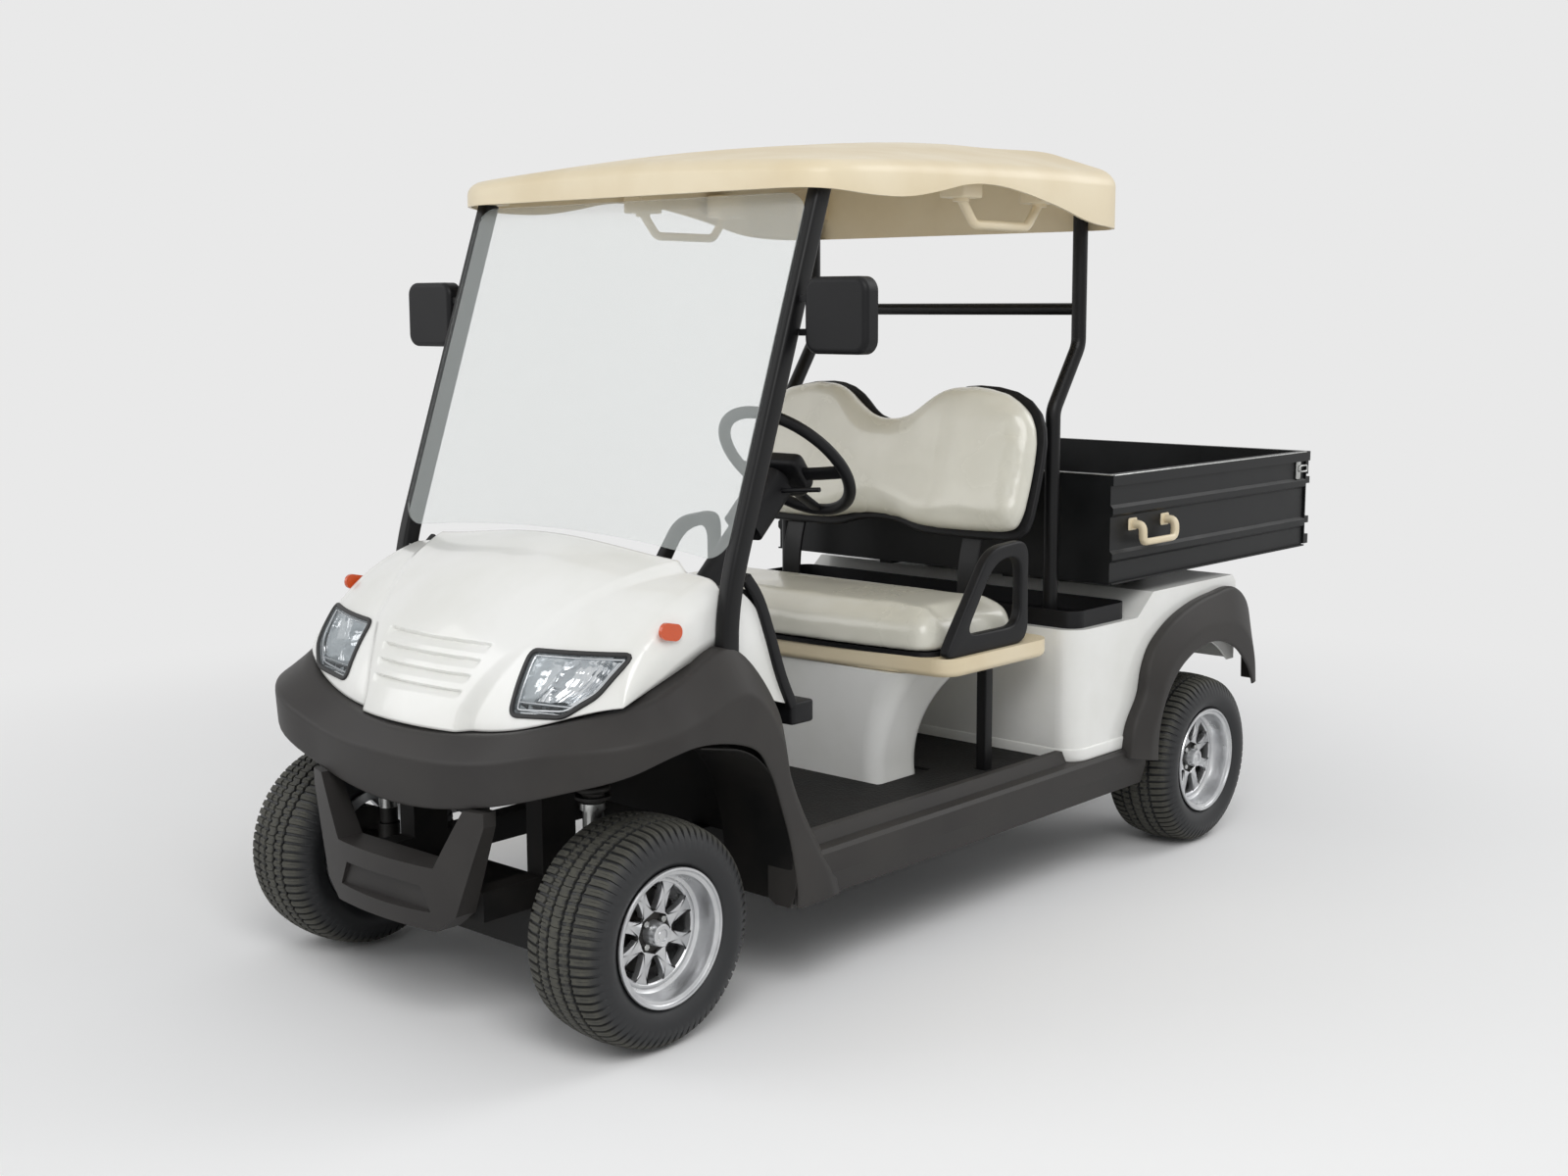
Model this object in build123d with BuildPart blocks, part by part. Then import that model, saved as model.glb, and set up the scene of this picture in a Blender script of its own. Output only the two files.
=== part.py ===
from build123d import *
import os
from math import atan2, cos, degrees, hypot, radians, sin

# A two-seat electric utility vehicle with a tipping cargo bed.
# Millimetres. +X points forward, +Y to the vehicle's left, +Z up.
# The origin is on the ground, under the middle of the vehicle.

os.makedirs("parts", exist_ok=True)

# Layout
FRONT_OVERHANG = 275.0
WHEELBASE = 1980.0
REAR_OVERHANG = 695.0
FRONT_TRACK = 954.0
REAR_TRACK = 1078.0
LENGTH = FRONT_OVERHANG + WHEELBASE + REAR_OVERHANG
FX = LENGTH / 2 - FRONT_OVERHANG  # front axle
RX = FX - WHEELBASE  # rear axle

# Wheels
TYRE_R = 230.0
TYRE_W = 205.0
TYRE_SHOULDER_R = 214.0
TREAD_W = 160.0
BEAD_R = 126.0
RIM_W = 190.0
RIM_LIP_R = 141.0
RIM_WALL = 7.0
RIM_DISH = 52.0  # depth of the spoke face behind the outer lip
SPOKE_COUNT = 8
SPOKE_W = 27.0
SPOKE_T = 16.0
HUB_R = 44.0
CAP_R = 31.0
AXLE_PIN_R = 21.95
AXLE_BORE_R = 22.0
AXLE_PIN_L = 46.0
AXLE_Z = TYRE_R

# Chassis frame
RAIL_Y = 215.0
RAIL_W = 50.0
RAIL_H = 60.0
RAIL_Z = AXLE_Z + 10.0  # underside of the level part
KICK_H = 160.0  # rise of the rails over the rear axle
RAIL_NOSE = 200.0  # rails ahead of the front axle
RAIL_TAIL = 300.0  # rails behind the rear axle
KICK_FROM = 320.0  # start and end of the rise, ahead of the rear axle
KICK_TO = 140.0
CROSS_W = 40.0
OUTRIGGER_H = 30.0
TOWER_H = 330.0
TOWER_L = 90.0
TOWER_T = 12.0
SUBFRAME_L = 160.0
SUBFRAME_DROP = 90.0

# Floor
FLOOR_T = 18.0
FLOOR_Z = RAIL_Z + RAIL_H + FLOOR_T  # top of the floor pan
FLOOR_HALF_W = 525.0
FLOOR_NOSE = 450.0  # the floor's front edge, behind the front axle
MAT_T = 7.0
MAT_INSET = 25.0
TOE_RUN = 240.0
TOE_T = 8.0

# Dashboard
DASH_LOW_H = 400.0  # underside above the floor; the toe board reaches up to it
TOE_H = DASH_LOW_H

# Body stations behind the front axle and ahead of the rear axle
COWL_BACK = 205.0
BODY_FRONT = 580.0
BODY_REAR = 230.0

# Side sills
SILL_OUT_Y = 600.0
SILL_BELOW = 105.0
SILL_LIP = 27.0
SILL_LIP_W = 33.0
ARCH_BACK = 325.0  # rear edge of the front wheel arch
LEG_FOOT = 440.0  # the fender's foot, behind the front axle

# Steering and front suspension
KINGPIN_INSET = 132.0  # from the wheel's middle to the king pin
KINGPIN_Y = FRONT_TRACK / 2 - KINGPIN_INSET
KINGPIN_R = 12.0
KNUCKLE_R = 24.0
KNUCKLE_H = 140.0
RUN_FIT = 0.05
ARM_T = 16.0
ARM_Z = AXLE_Z - 80.0
STEER_ARM = 115.0
STEER_ARM_T = 12.0
STEER_ARM_IN = 10.0
ROD_R = 11.0
ROD_END_R = 14.0
ROD_GAP = 1.0
RACK_R = 26.0
RACK_HALF_W = 110.0
STRUT_R = 20.0
SPRING_R = 36.0
SPRING_COILS = 5
STRUT_GAP = 1.0

# Rear axle
AXLE_TUBE_R = 38.0
DIFF_R = 98.0
DIFF_W = 150.0
MOTOR_R = 88.0
MOTOR_L = 250.0
SPRING_Y = 280.0
LEAF_W = 50.0
LEAF_T = 24.0
LEAF_HALF = 265.0
LEAF_RISE = 55.0
HANGER_T = 30.0

# Nose: sections of the cowl, heights above the floor, x ahead of the front axle
WALL = 6.0
COWL_REAR_H = 470.0
COWL_HALF_W = 515.0
LAMP_GAP = 0.5
BUMPER_T = 8.0
BUMPER_HALF = 480.0
CORNER_X = 70.0
LEG_IN_Y = 520.0

# Windscreen and pillars
PILLAR_D = 44.0
PILLAR_W = 36.0
PILLAR_Y = COWL_HALF_W + PILLAR_W / 2
PILLAR_FOOT_H = 390.0
PILLAR_KNEE_H = 552.0
PILLAR_KNEE = 200.0
PILLAR_RAKE = 285.0
PILLAR_TOP_H = 1382.0
GLASS_T = 5.0
GLASS_HALF_W = 530.0
GLASS_R = 60.0
GLASS_LOW = 71.0
GLASS_ARCH = 35.0
GLASS_HIGH = 857.0

# Roof
ROOF_FRONT = 415.0  # behind the front axle
ROOF_REAR = 365.0  # ahead of the rear axle
ROOF_HALF_W = 600.0
ROOF_REAR_HALF_W = 580.0
ROOF_T = 10.0
ROOF_EDGE_H = 1428.0
ROOF_SKIRT_H = 1330.0
ROOF_CORNER_R = 90.0
PAD_L = 80.0
PAD_W = 70.0
TUBE_R = 19.0
REAR_PILLAR_Y = 450.0

# Seat
SEAT_HALF_W = 500.0
TRIM_HALF_W = 545.0
SEAT_FRONT = 1105.0  # ahead of the rear axle
SEAT_REAR = 690.0
SEAT_BOW = 40.0
TRIM_H = 282.0
TRIM_T = 45.0
PAN_T = 10.0
CUSHION_T = 95.0
LID_HINGE = 1095.0
BACK_X = 653.0
BACK_H = 562.0
BACK_LEAN = 0.3
BACK_T = 62.0
BACK_HALF_W = 480.0
SHELL_T = 14.0
POST_W = 30.0
LOOP_R = 11.0
LOOP_Y = 520.0

# Rear body and bed
BODY_HALF_W = 580.0
BODY_WALL = 5.0
BODY_CORNER_R = 60.0
DECK_LOW_H = 337.0
DECK_H = 397.0
BODY_FOOT_H = 30.0
REAR_ARCH_R = 268.0
REAR_ARCH_RISE = 60.0  # the arch's centre above the axle
FLARE_Y = 640.0
BED_FRONT = 413.0
BED_REAR = 652.0  # behind the rear axle
BED_HALF_W = 575.0
BED_H = 436.0  # underside of the bed's floor above the cab floor
BED_DEPTH = 281.0
SHEET = 4.0
RIM_TUBE = 28.0
BED_RAIL_H = 18.0
RIB_OUT = 8.0
GATE_T = 26.0
GATE_GAP = 6.0
HINGE_BACK = 268.0  # the tipping pin, behind the rear axle
HINGE_PIN_R = 10.0
LUG_W = 44.0
LUG_R = 24.0
EAR_T = 10.0
EAR_R = BED_RAIL_H - 5.0  # the ears stay clear of the bed floor as it tips


def floor(h):
    """Height above the ground of a point h above the floor pan."""
    return FLOOR_Z + h


def side_plane(y):
    """The upright lengthwise plane at a distance y to the left; its sketch axes are X and Z."""
    return Plane.XZ.offset(-y)


def save(piece, label):
    piece.label = label
    export_step(piece, f"parts/{label}.step")


# Chassis frame: rails, cross tubes, front towers, spring hangers, bed posts with the tipping pins
rail_top = RAIL_Z + RAIL_H
kick_top = rail_top + KICK_H
hinge_x = RX - HINGE_BACK
bed_z = floor(BED_H)
bed_rest_z = bed_z - BED_RAIL_H
hinge_z = bed_rest_z
deck_z = floor(DECK_H)
king_top = AXLE_Z + KNUCKLE_H / 2
tower_top = rail_top + TOWER_H

with BuildPart() as chassis_frame:
    with BuildSketch(side_plane(RAIL_Y)):
        Polygon(
            (FX + RAIL_NOSE, RAIL_Z),
            (FX + RAIL_NOSE, rail_top),
            (RX + KICK_FROM, rail_top),
            (RX + KICK_TO, kick_top),
            (RX - RAIL_TAIL, kick_top),
            (RX - RAIL_TAIL, kick_top - RAIL_H),
            (RX + KICK_TO, kick_top - RAIL_H),
            (RX + KICK_FROM, RAIL_Z),
            align=None,
        )
    extrude(amount=RAIL_W / 2, both=True)
    mirror(about=Plane.XZ)
    # columns: x, middle height
    cross_tubes = (
        (FX + RAIL_NOSE - CROSS_W / 2, RAIL_Z + RAIL_H / 2),
        (FX - FLOOR_NOSE - CROSS_W, RAIL_Z + RAIL_H / 2),
        (RX + BODY_FRONT - CROSS_W, RAIL_Z + RAIL_H / 2),
        (RX + KICK_TO - CROSS_W, kick_top - RAIL_H / 2),
        (RX - RAIL_TAIL + CROSS_W / 2, kick_top - RAIL_H / 2),
    )
    with Locations(*[(x, 0, z) for x, z in cross_tubes]):
        Box(CROSS_W, 2 * RAIL_Y, RAIL_H)
    # outriggers that carry the floor's edges and the sills
    outrigger_xs = (FX - FLOOR_NOSE - 120.0, (FX + RX) / 2, RX + BODY_FRONT + 30.0)
    with Locations(*[(x, 0, rail_top - OUTRIGGER_H / 2) for x in outrigger_xs]):
        Box(CROSS_W, 2 * FLOOR_HALF_W, OUTRIGGER_H)
    # front subframe and strut towers
    with Locations((FX, 0, RAIL_Z)):
        Box(
            SUBFRAME_L,
            2 * RAIL_Y + RAIL_W,
            SUBFRAME_DROP,
            align=(Align.CENTER, Align.CENTER, Align.MAX),
        )
    with Locations((FX, RAIL_Y, rail_top), (FX, -RAIL_Y, rail_top)):
        Box(TOWER_L, RAIL_W, TOWER_H, align=(Align.CENTER, Align.CENTER, Align.MIN))
    with Locations((FX, 0, tower_top)):
        Box(
            TOWER_L,
            2 * (KINGPIN_Y + SPRING_R),
            TOWER_T,
            align=(Align.CENTER, Align.CENTER, Align.MIN),
        )
    # steering rack housing on the back of the subframe
    rack_x = FX - STEER_ARM
    rack_z = AXLE_Z - KNUCKLE_H / 2 + 30.0
    with Locations((rack_x, 0, rack_z)):
        Cylinder(RACK_R, 2 * RACK_HALF_W, rotation=(90, 0, 0))
        Box(STEER_ARM - SUBFRAME_L / 2, RACK_HALF_W, RACK_R, align=(Align.MIN, Align.CENTER, Align.CENTER))
        Cylinder(ROD_R + 0.3, 3 * RACK_HALF_W, rotation=(90, 0, 0), mode=Mode.SUBTRACT)
    # leaf spring hangers on the rails' outer faces
    hanger_w = SPRING_Y + LEAF_W / 2 - RAIL_Y - RAIL_W / 2
    leaf_eye_z = AXLE_Z + AXLE_TUBE_R + 17.0 + LEAF_RISE
    for side in (1, -1):
        with Locations(
            (RX + LEAF_HALF + HANGER_T / 2, side * (RAIL_Y + RAIL_W / 2 + hanger_w / 2), 0),
        ):
            with Locations((0, 0, leaf_eye_z - 40.0)):
                Box(HANGER_T, hanger_w, 80.0, align=(Align.CENTER, Align.CENTER, Align.MIN))
        with Locations(
            (RX - LEAF_HALF - HANGER_T / 2, side * (RAIL_Y + RAIL_W / 2 + hanger_w / 2), leaf_eye_z - 40.0),
        ):
            Box(
                HANGER_T,
                hanger_w,
                kick_top - leaf_eye_z + 40.0,
                align=(Align.CENTER, Align.CENTER, Align.MIN),
            )
    # posts through the rear deck, with the bar that the bed rests on
    rest_x = RX + KICK_TO - CROSS_W / 2
    with Locations((rest_x, RAIL_Y, kick_top), (rest_x, -RAIL_Y, kick_top)):
        Box(CROSS_W, CROSS_W, bed_rest_z - kick_top, align=(Align.CENTER, Align.CENTER, Align.MIN))
    with Locations((rest_x, 0, bed_rest_z)):
        Box(CROSS_W, 2 * RAIL_Y + RAIL_W, 16.0, align=(Align.CENTER, Align.CENTER, Align.MAX))
    # tipping ears and pins behind the rear body
    ear_low = hinge_z - LUG_R - GATE_GAP
    for side in (1, -1):
        with Locations((hinge_x, side * RAIL_Y, kick_top)):
            Box(
                2 * HINGE_PIN_R + CROSS_W / 2,
                LUG_W + 4 * EAR_T / 2,
                ear_low - kick_top,
                align=(Align.CENTER, Align.CENTER, Align.MIN),
            )
        ear_y = LUG_W / 2 + EAR_T / 2 + 1.0
        for step in (-1, 1):
            with Locations((hinge_x, side * RAIL_Y + step * ear_y, hinge_z)):
                Box(2 * EAR_R, EAR_T, hinge_z - ear_low, align=(Align.CENTER, Align.CENTER, Align.MAX))
                Cylinder(EAR_R, EAR_T, rotation=(90, 0, 0))
        with Locations((hinge_x, side * RAIL_Y, hinge_z)):
            Cylinder(HINGE_PIN_R, LUG_W + 2 * EAR_T + 2.0, rotation=(90, 0, 0))
save(chassis_frame.part, "chassis_frame")

# Floor pan with its sloping toe board
floor_front_x = FX - FLOOR_NOSE
body_front_x = RX + BODY_FRONT
with BuildPart() as floor_pan:
    with Locations(((floor_front_x + body_front_x) / 2, 0, FLOOR_Z)):
        Box(
            floor_front_x - body_front_x,
            2 * FLOOR_HALF_W,
            FLOOR_T,
            align=(Align.CENTER, Align.CENTER, Align.MAX),
        )
    with BuildSketch(side_plane(0)):
        Polygon(
            (floor_front_x - TOE_T, FLOOR_Z - FLOOR_T),
            (floor_front_x - TOE_T, FLOOR_Z),
            (floor_front_x + TOE_RUN - TOE_T, FLOOR_Z + TOE_H),
            (floor_front_x + TOE_RUN, FLOOR_Z + TOE_H),
            (floor_front_x + TOE_T, FLOOR_Z - FLOOR_T),
            align=None,
        )
    extrude(amount=FLOOR_HALF_W - 10.0, both=True)
save(floor_pan.part, "floor_pan")

# Seat pedestal: flared from a narrow foot to the wide seat trim
seat_front_x = RX + SEAT_FRONT
seat_rear_x = RX + SEAT_REAR
ped_front_x = seat_front_x - 30.0
# columns: height above the floor, depth, half width, corner radius
pedestal_sections = (
    (0.0, 180.0, 340.0, 40.0),
    (130.0, 195.0, 350.0, 45.0),
    (220.0, 245.0, 385.0, 55.0),
    (TRIM_H, 330.0, 428.0, 60.0),
)
with BuildPart() as seat_pedestal:
    for h, depth, half_w, corner in pedestal_sections:
        with BuildSketch(Plane.XY.offset(floor(h))):
            with Locations((ped_front_x - depth / 2, 0)):
                RectangleRounded(depth, 2 * half_w, corner)
    loft()
save(seat_pedestal.part, "seat_pedestal")

# Floor mat, cut round the pedestal and the seat posts
post_x = seat_rear_x + 95.0
post_y = 450.0
with BuildPart() as floor_mat:
    with BuildSketch(Plane.XY.offset(FLOOR_Z)):
        with Locations(((floor_front_x + body_front_x) / 2 - TOE_T, 0)):
            RectangleRounded(
                floor_front_x - body_front_x - 2 * TOE_T - 6.0,
                2 * (FLOOR_HALF_W - MAT_INSET),
                MAT_INSET,
            )
        foot_depth = pedestal_sections[1][1] + 10.0
        with Locations((ped_front_x + 5.0 - foot_depth / 2, 0)):
            Rectangle(foot_depth, 2 * pedestal_sections[1][2] + 10.0, mode=Mode.SUBTRACT)
        with Locations((post_x, post_y), (post_x, -post_y)):
            Rectangle(POST_W + 4.0, POST_W + 4.0, mode=Mode.SUBTRACT)
    extrude(amount=MAT_T)
save(floor_mat.part, "floor_mat")

# Cowl sections. columns: y, then (x ahead of the front axle, height above the floor) of foot, middle, top
cowl_sections = (
    (0.0, (178.0, 296.0), (78.0, 465.0), (-COWL_BACK, 612.0)),
    (280.0, (157.0, 312.0), (80.0, 461.0), (-COWL_BACK, 606.0)),
    (420.0, (122.0, 352.0), (45.0, 467.0), (-COWL_BACK, 600.0)),
    (COWL_HALF_W, (70.0, 376.0), (0.0, 470.0), (-COWL_BACK, 585.0)),
)
bulge_sections = (
    (0.0, (212.0, 296.0), (117.0, 472.0), (-COWL_BACK + 8.0, 652.0)),
    (430.0, (168.0, 296.0), (80.0, 458.0), (-COWL_BACK, 622.0)),
)


def both_sides(sections):
    """The sections from the right edge over the middle to the left edge."""
    return [(-s[0], *s[1:]) for s in reversed(sections[1:])] + list(sections)


def cowl_core(sections, grow, rear_grow=0.0, drop=0.0):
    """A solid under the cowl's skin, grown outwards; open ends reach rear_grow back and drop down."""
    with BuildPart() as core:
        for y, (fx, fh), (mx, mh), (tx, th) in both_sides(sections):
            edge = max(-1.0, min(1.0, y / COWL_HALF_W))
            with BuildSketch(side_plane(y + edge * grow)):
                with BuildLine():
                    foot = (FX + fx + grow, floor(fh) - drop)
                    top = (FX + tx, floor(th) + grow)
                    ThreePointArc(foot, (FX + mx + 0.75 * grow, floor(mh) + 0.66 * grow), top)
                    Polyline(
                        top,
                        (FX + tx - rear_grow - 1.0, floor(th) + grow),
                        (FX - COWL_BACK - rear_grow, floor(COWL_REAR_H) - drop),
                        foot,
                    )
                make_face()
        loft()
    return core.part


# Headlamp outline seen from ahead. columns: y, height above the floor
lamp_outline = ((268.0, 461.0), (490.0, 468.0), (462.0, 395.0), (405.0, 352.0), (276.0, 342.0))


def lamp_prism(grow, front, back):
    """Both headlamp outlines, grown by a margin, drawn out along X."""
    with BuildPart() as prism:
        with BuildSketch(Plane.YZ.offset(back)):
            with BuildLine():
                Polyline(*[(y, floor(h)) for y, h in lamp_outline], close=True)
            make_face()
            fillet([v for v in vertices()], 14.0)
            offset(amount=grow, kind=Kind.INTERSECTION)
        extrude(amount=front - back)
        mirror(about=Plane.XZ)
    return prism.part


cowl_skin = cowl_core(cowl_sections, 0.0)
cowl_inside = cowl_core(cowl_sections, -WALL, 20.0, 25.0)
bulge_core = cowl_core(bulge_sections, 0.0)
lamp_front_x = FX + FRONT_OVERHANG - 5.0
lamp_cut = lamp_prism(LAMP_GAP, lamp_front_x, FX - 20.0)

with BuildPart() as bulge:
    add(bulge_core)
    with BuildSketch(Plane.XY.offset(floor(250.0))):
        Polygon(
            (FX + 260.0, 125.0),
            (FX + 180.0, 189.0),
            (FX - COWL_BACK - 5.0, 505.0),
            (FX - COWL_BACK - 5.0, -505.0),
            (FX + 180.0, -189.0),
            (FX + 260.0, -125.0),
            align=None,
        )
    extrude(amount=500.0, taper=15.0, mode=Mode.INTERSECT)

# columns: height above the floor, half length of the louvre groove
louvres = ((369.0, 148.0), (399.0, 156.0), (429.0, 164.0), (459.0, 172.0))
GROOVE_H = 11.0
GROOVE_D = 12.0
CHEEK_T = WALL

with BuildPart() as front_cowl:
    add(cowl_skin)
    add(bulge.part)
    add(cowl_inside, mode=Mode.SUBTRACT)
    add(lamp_cut, mode=Mode.SUBTRACT)
    for h, half in louvres:
        # the nose leans back about half a unit for each unit of height here
        lean = (h - 296.0) * 0.56
        with Locations(Location((FX + 214.0 - lean, 0, floor(h)), (0, -28, 0))):
            Box(2 * GROOVE_D, 2 * half, GROOVE_H, mode=Mode.SUBTRACT)
    # side cheeks behind the cowl, beside the dashboard
    with BuildSketch(side_plane(COWL_HALF_W)):
        with BuildLine():
            cheek_low = (FX - 395.0, floor(310.0))
            cheek_top = (FX - COWL_BACK, floor(584.0))
            ThreePointArc(cheek_top, (FX - 318.0, floor(505.0)), cheek_low)
            ThreePointArc(cheek_low, (FX - 265.0, floor(372.0)), (FX - COWL_BACK, floor(COWL_REAR_H)))
            Line((FX - COWL_BACK, floor(COWL_REAR_H)), cheek_top)
        make_face()
    extrude(amount=CHEEK_T)
    mirror(about=Plane.XZ)
save(front_cowl.part, "front_cowl")

# Headlamp lenses follow the cowl's surface; the housings are cups behind them
with BuildPart() as headlamp_lenses:
    add(lamp_prism(0.0, lamp_front_x, FX - 20.0))
    add(cowl_core(cowl_sections, 2.0), mode=Mode.INTERSECT)
    add(cowl_core(cowl_sections, -4.0, 20.0, 25.0), mode=Mode.SUBTRACT)
save(headlamp_lenses.part, "headlamp_lenses")
with BuildPart() as headlamp_housings:
    add(lamp_prism(-1.0, lamp_front_x, FX - 20.0))
    add(cowl_core(cowl_sections, -4.3, 0.0, 25.0), mode=Mode.INTERSECT)
    add(lamp_prism(-6.0, lamp_front_x, FX - 12.0), mode=Mode.SUBTRACT)
save(headlamp_housings.part, "headlamp_housings")


# Bumper and fenders: one moulding that runs round the nose and over both wheels
def skin_profile(low, ridge, top, flange, inward):
    """Closed section of the moulding: low edge, ridge, top edge and flange, and back inside."""
    t = BUMPER_T
    return (
        low,
        ridge,
        top,
        flange,
        (flange[0], flange[1] - t),
        (top[0] + 0.3 * t * inward, top[1] - t),
        (ridge[0] + t * inward, ridge[1]),
        (low[0] + t * inward, low[1]),
    )


# columns: y, then (x ahead of the axle, height) of low edge, ridge, top edge, flange
bumper_sections = (
    (0.0, (238.0, 135.0), (262.0, 244.0), (224.0, 290.0), (170.0, 290.0)),
    (240.0, (230.0, 162.0), (242.0, 254.0), (186.0, 303.0), (130.0, 303.0)),
    (BUMPER_HALF, (192.0, 228.0), (196.0, 305.0), (122.0, 358.0), (82.0, 358.0)),
)
corner_end = bumper_sections[-1]
# columns: x ahead of the axle, then (y, height) of low edge, ridge, top edge, flange
fender_sections = (
    (CORNER_X, *[(BUMPER_HALF + x - CORNER_X, h) for x, h in corner_end[1:]]),
    (-60.0, (600.0, 290.0), (600.0, 335.0), (547.0, 404.0), (500.0, 404.0)),
    (-200.0, (600.0, 262.0), (600.0, 370.0), (550.0, 452.0), (500.0, 452.0)),
)
with BuildPart() as bumper_band:
    for y, low, ridge, top, flange in both_sides(bumper_sections):
        with BuildSketch(side_plane(y)):
            points = skin_profile(low, ridge, top, flange, -1)
            Polygon(*[(FX + x, floor(h)) for x, h in points], align=None)
    loft()
with BuildPart() as bumper_corner:
    with BuildSketch(side_plane(BUMPER_HALF)):
        points = skin_profile(*corner_end[1:], -1)
        Polygon(*[(FX + x, floor(h)) for x, h in points], align=None)
    revolve(axis=Axis((FX + CORNER_X, BUMPER_HALF, 0), (0, 0, 1)), revolution_arc=90)
with BuildPart() as fender_side:
    for x, low, ridge, top, flange in fender_sections:
        with BuildSketch(Plane.YZ.offset(FX + x)):
            points = skin_profile(low, ridge, top, flange, -1)
            Polygon(*[(y, floor(h)) for y, h in points], align=None)
    loft()
with BuildPart() as fender_leg:
    with BuildSketch(side_plane(SILL_OUT_Y)) as leg_outline:
        with BuildLine():
            arch_top = (FX - 200.0, floor(262.0))
            leg_top = (FX - 200.0, floor(452.0))
            leg_knee = (FX - 318.0, floor(312.0))
            ThreePointArc(arch_top, (FX - 283.0, floor(140.0)), (FX - ARCH_BACK, FLOOR_Z))
            Line((FX - ARCH_BACK, FLOOR_Z), (FX - LEG_FOOT, FLOOR_Z))
            ThreePointArc((FX - LEG_FOOT, FLOOR_Z), (FX - 352.0, floor(150.0)), leg_knee)
            ThreePointArc(leg_knee, (FX - 290.0, floor(385.0)), leg_top)
            Line(leg_top, arch_top)
        make_face()
    extrude(amount=SILL_OUT_Y - LEG_IN_Y)
    with BuildSketch(side_plane(SILL_OUT_Y - WALL)):
        add(leg_outline.sketch_local)
        offset(amount=-WALL)
    extrude(amount=SILL_OUT_Y - LEG_IN_Y, mode=Mode.SUBTRACT)
with BuildPart() as front_fender:
    add(bumper_band.part)
    add(bumper_corner.part)
    add(fender_side.part)
    add(fender_leg.part)
    mirror(about=Plane.XZ)
    # the pillars stand in a slot behind the fenders' tops
    slot_z = floor(PILLAR_FOOT_H) - 3.0
    with Locations((FX - COWL_BACK, PILLAR_Y, slot_z), (FX - COWL_BACK, -PILLAR_Y, slot_z)):
        Box(
            PILLAR_D + 40.0,
            PILLAR_W + 2.0,
            300.0,
            align=(Align.CENTER, Align.CENTER, Align.MIN),
            mode=Mode.SUBTRACT,
        )
save(front_fender.part, "front_fender")

# Lower bumper guard, a bent U on the front cross tube
guard_front_x = FX + FRONT_OVERHANG
GUARD_D = 75.0
with BuildPart() as bumper_guard:
    with BuildSketch(Plane.YZ.offset(guard_front_x)):
        Polygon(
            (-165, floor(-98)), (-215, floor(-60)), (-285, floor(130)), (-285, floor(160)), (-238, floor(160)),
            (-160, floor(32)), (160, floor(32)), (238, floor(160)), (285, floor(160)), (285, floor(130)),
            (215, floor(-60)), (165, floor(-98)),
            align=None,
        )
    extrude(amount=-GUARD_D)
    with BuildSketch(Plane.YZ.offset(guard_front_x)):
        with Locations((0, floor(-35))):
            Trapezoid(310.0, 56.0, 62.0)
    extrude(amount=-18.0, taper=12.0, mode=Mode.SUBTRACT)
    # swept-back front: the sides lie further back than the middle
    with BuildSketch(Plane.XY.offset(floor(-200))):
        with BuildLine():
            ThreePointArc((guard_front_x - 46.0, -290.0), (guard_front_x, 0), (guard_front_x - 46.0, 290.0))
            Polyline(
                (guard_front_x - 46.0, 290.0),
                (guard_front_x - 200.0, 290.0),
                (guard_front_x - 200.0, -290.0),
                (guard_front_x - 46.0, -290.0),
            )
        make_face()
    extrude(amount=500.0, mode=Mode.INTERSECT)
save(bumper_guard.part, "bumper_guard")

# Side sills: a low step outside and a raised lip beside the floor
sill_rear_x = RX + REAR_ARCH_R + 4.0
with BuildPart() as side_sills:
    with BuildSketch(Plane.YZ.offset(FX - ARCH_BACK)):
        Polygon(
            (FLOOR_HALF_W, FLOOR_Z),
            (FLOOR_HALF_W, FLOOR_Z - SILL_BELOW + 12.0),
            (FLOOR_HALF_W + 20.0, FLOOR_Z - SILL_BELOW),
            (SILL_OUT_Y - 12.0, FLOOR_Z - SILL_BELOW),
            (SILL_OUT_Y + 4.0, FLOOR_Z - SILL_BELOW / 2),
            (SILL_OUT_Y, FLOOR_Z - 8.0),
            (SILL_OUT_Y - 8.0, FLOOR_Z),
            align=None,
        )
    extrude(amount=sill_rear_x - FX + ARCH_BACK)
    with BuildSketch(Plane.YZ.offset(FX - LEG_FOOT - 1.0)):
        Polygon(
            (FLOOR_HALF_W, FLOOR_Z),
            (FLOOR_HALF_W + SILL_LIP_W, FLOOR_Z),
            (FLOOR_HALF_W + SILL_LIP_W - 14.0, FLOOR_Z + SILL_LIP),
            (FLOOR_HALF_W, FLOOR_Z + SILL_LIP),
            align=None,
        )
    extrude(amount=body_front_x - FX + LEG_FOOT + 1.0)
    mirror(about=Plane.XZ)
save(side_sills.part, "side_sills")

# Windscreen plane and front pillars
pillar_len = hypot(PILLAR_RAKE, PILLAR_TOP_H - PILLAR_KNEE_H)
rake = (-PILLAR_RAKE / pillar_len, (PILLAR_TOP_H - PILLAR_KNEE_H) / pillar_len)
knee = (FX - PILLAR_KNEE, floor(PILLAR_KNEE_H))
with BuildPart() as front_pillars:
    with BuildSketch(side_plane(PILLAR_Y)):
        with BuildLine():
            Polyline(
                (knee[0] + 2.0, floor(PILLAR_FOOT_H)),
                knee,
                (knee[0] + 1.1 * pillar_len * rake[0], knee[1] + 1.1 * pillar_len * rake[1]),
            )
        trace(line_width=PILLAR_D)
    extrude(amount=PILLAR_W / 2, both=True)
    mirror(about=Plane.XZ)
    with Locations((FX - 400.0, 0, floor(PILLAR_TOP_H))):
        Box(600, 1600, 400, align=(Align.CENTER, Align.CENTER, Align.MIN), mode=Mode.SUBTRACT)
save(front_pillars.part, "front_pillars")
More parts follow.
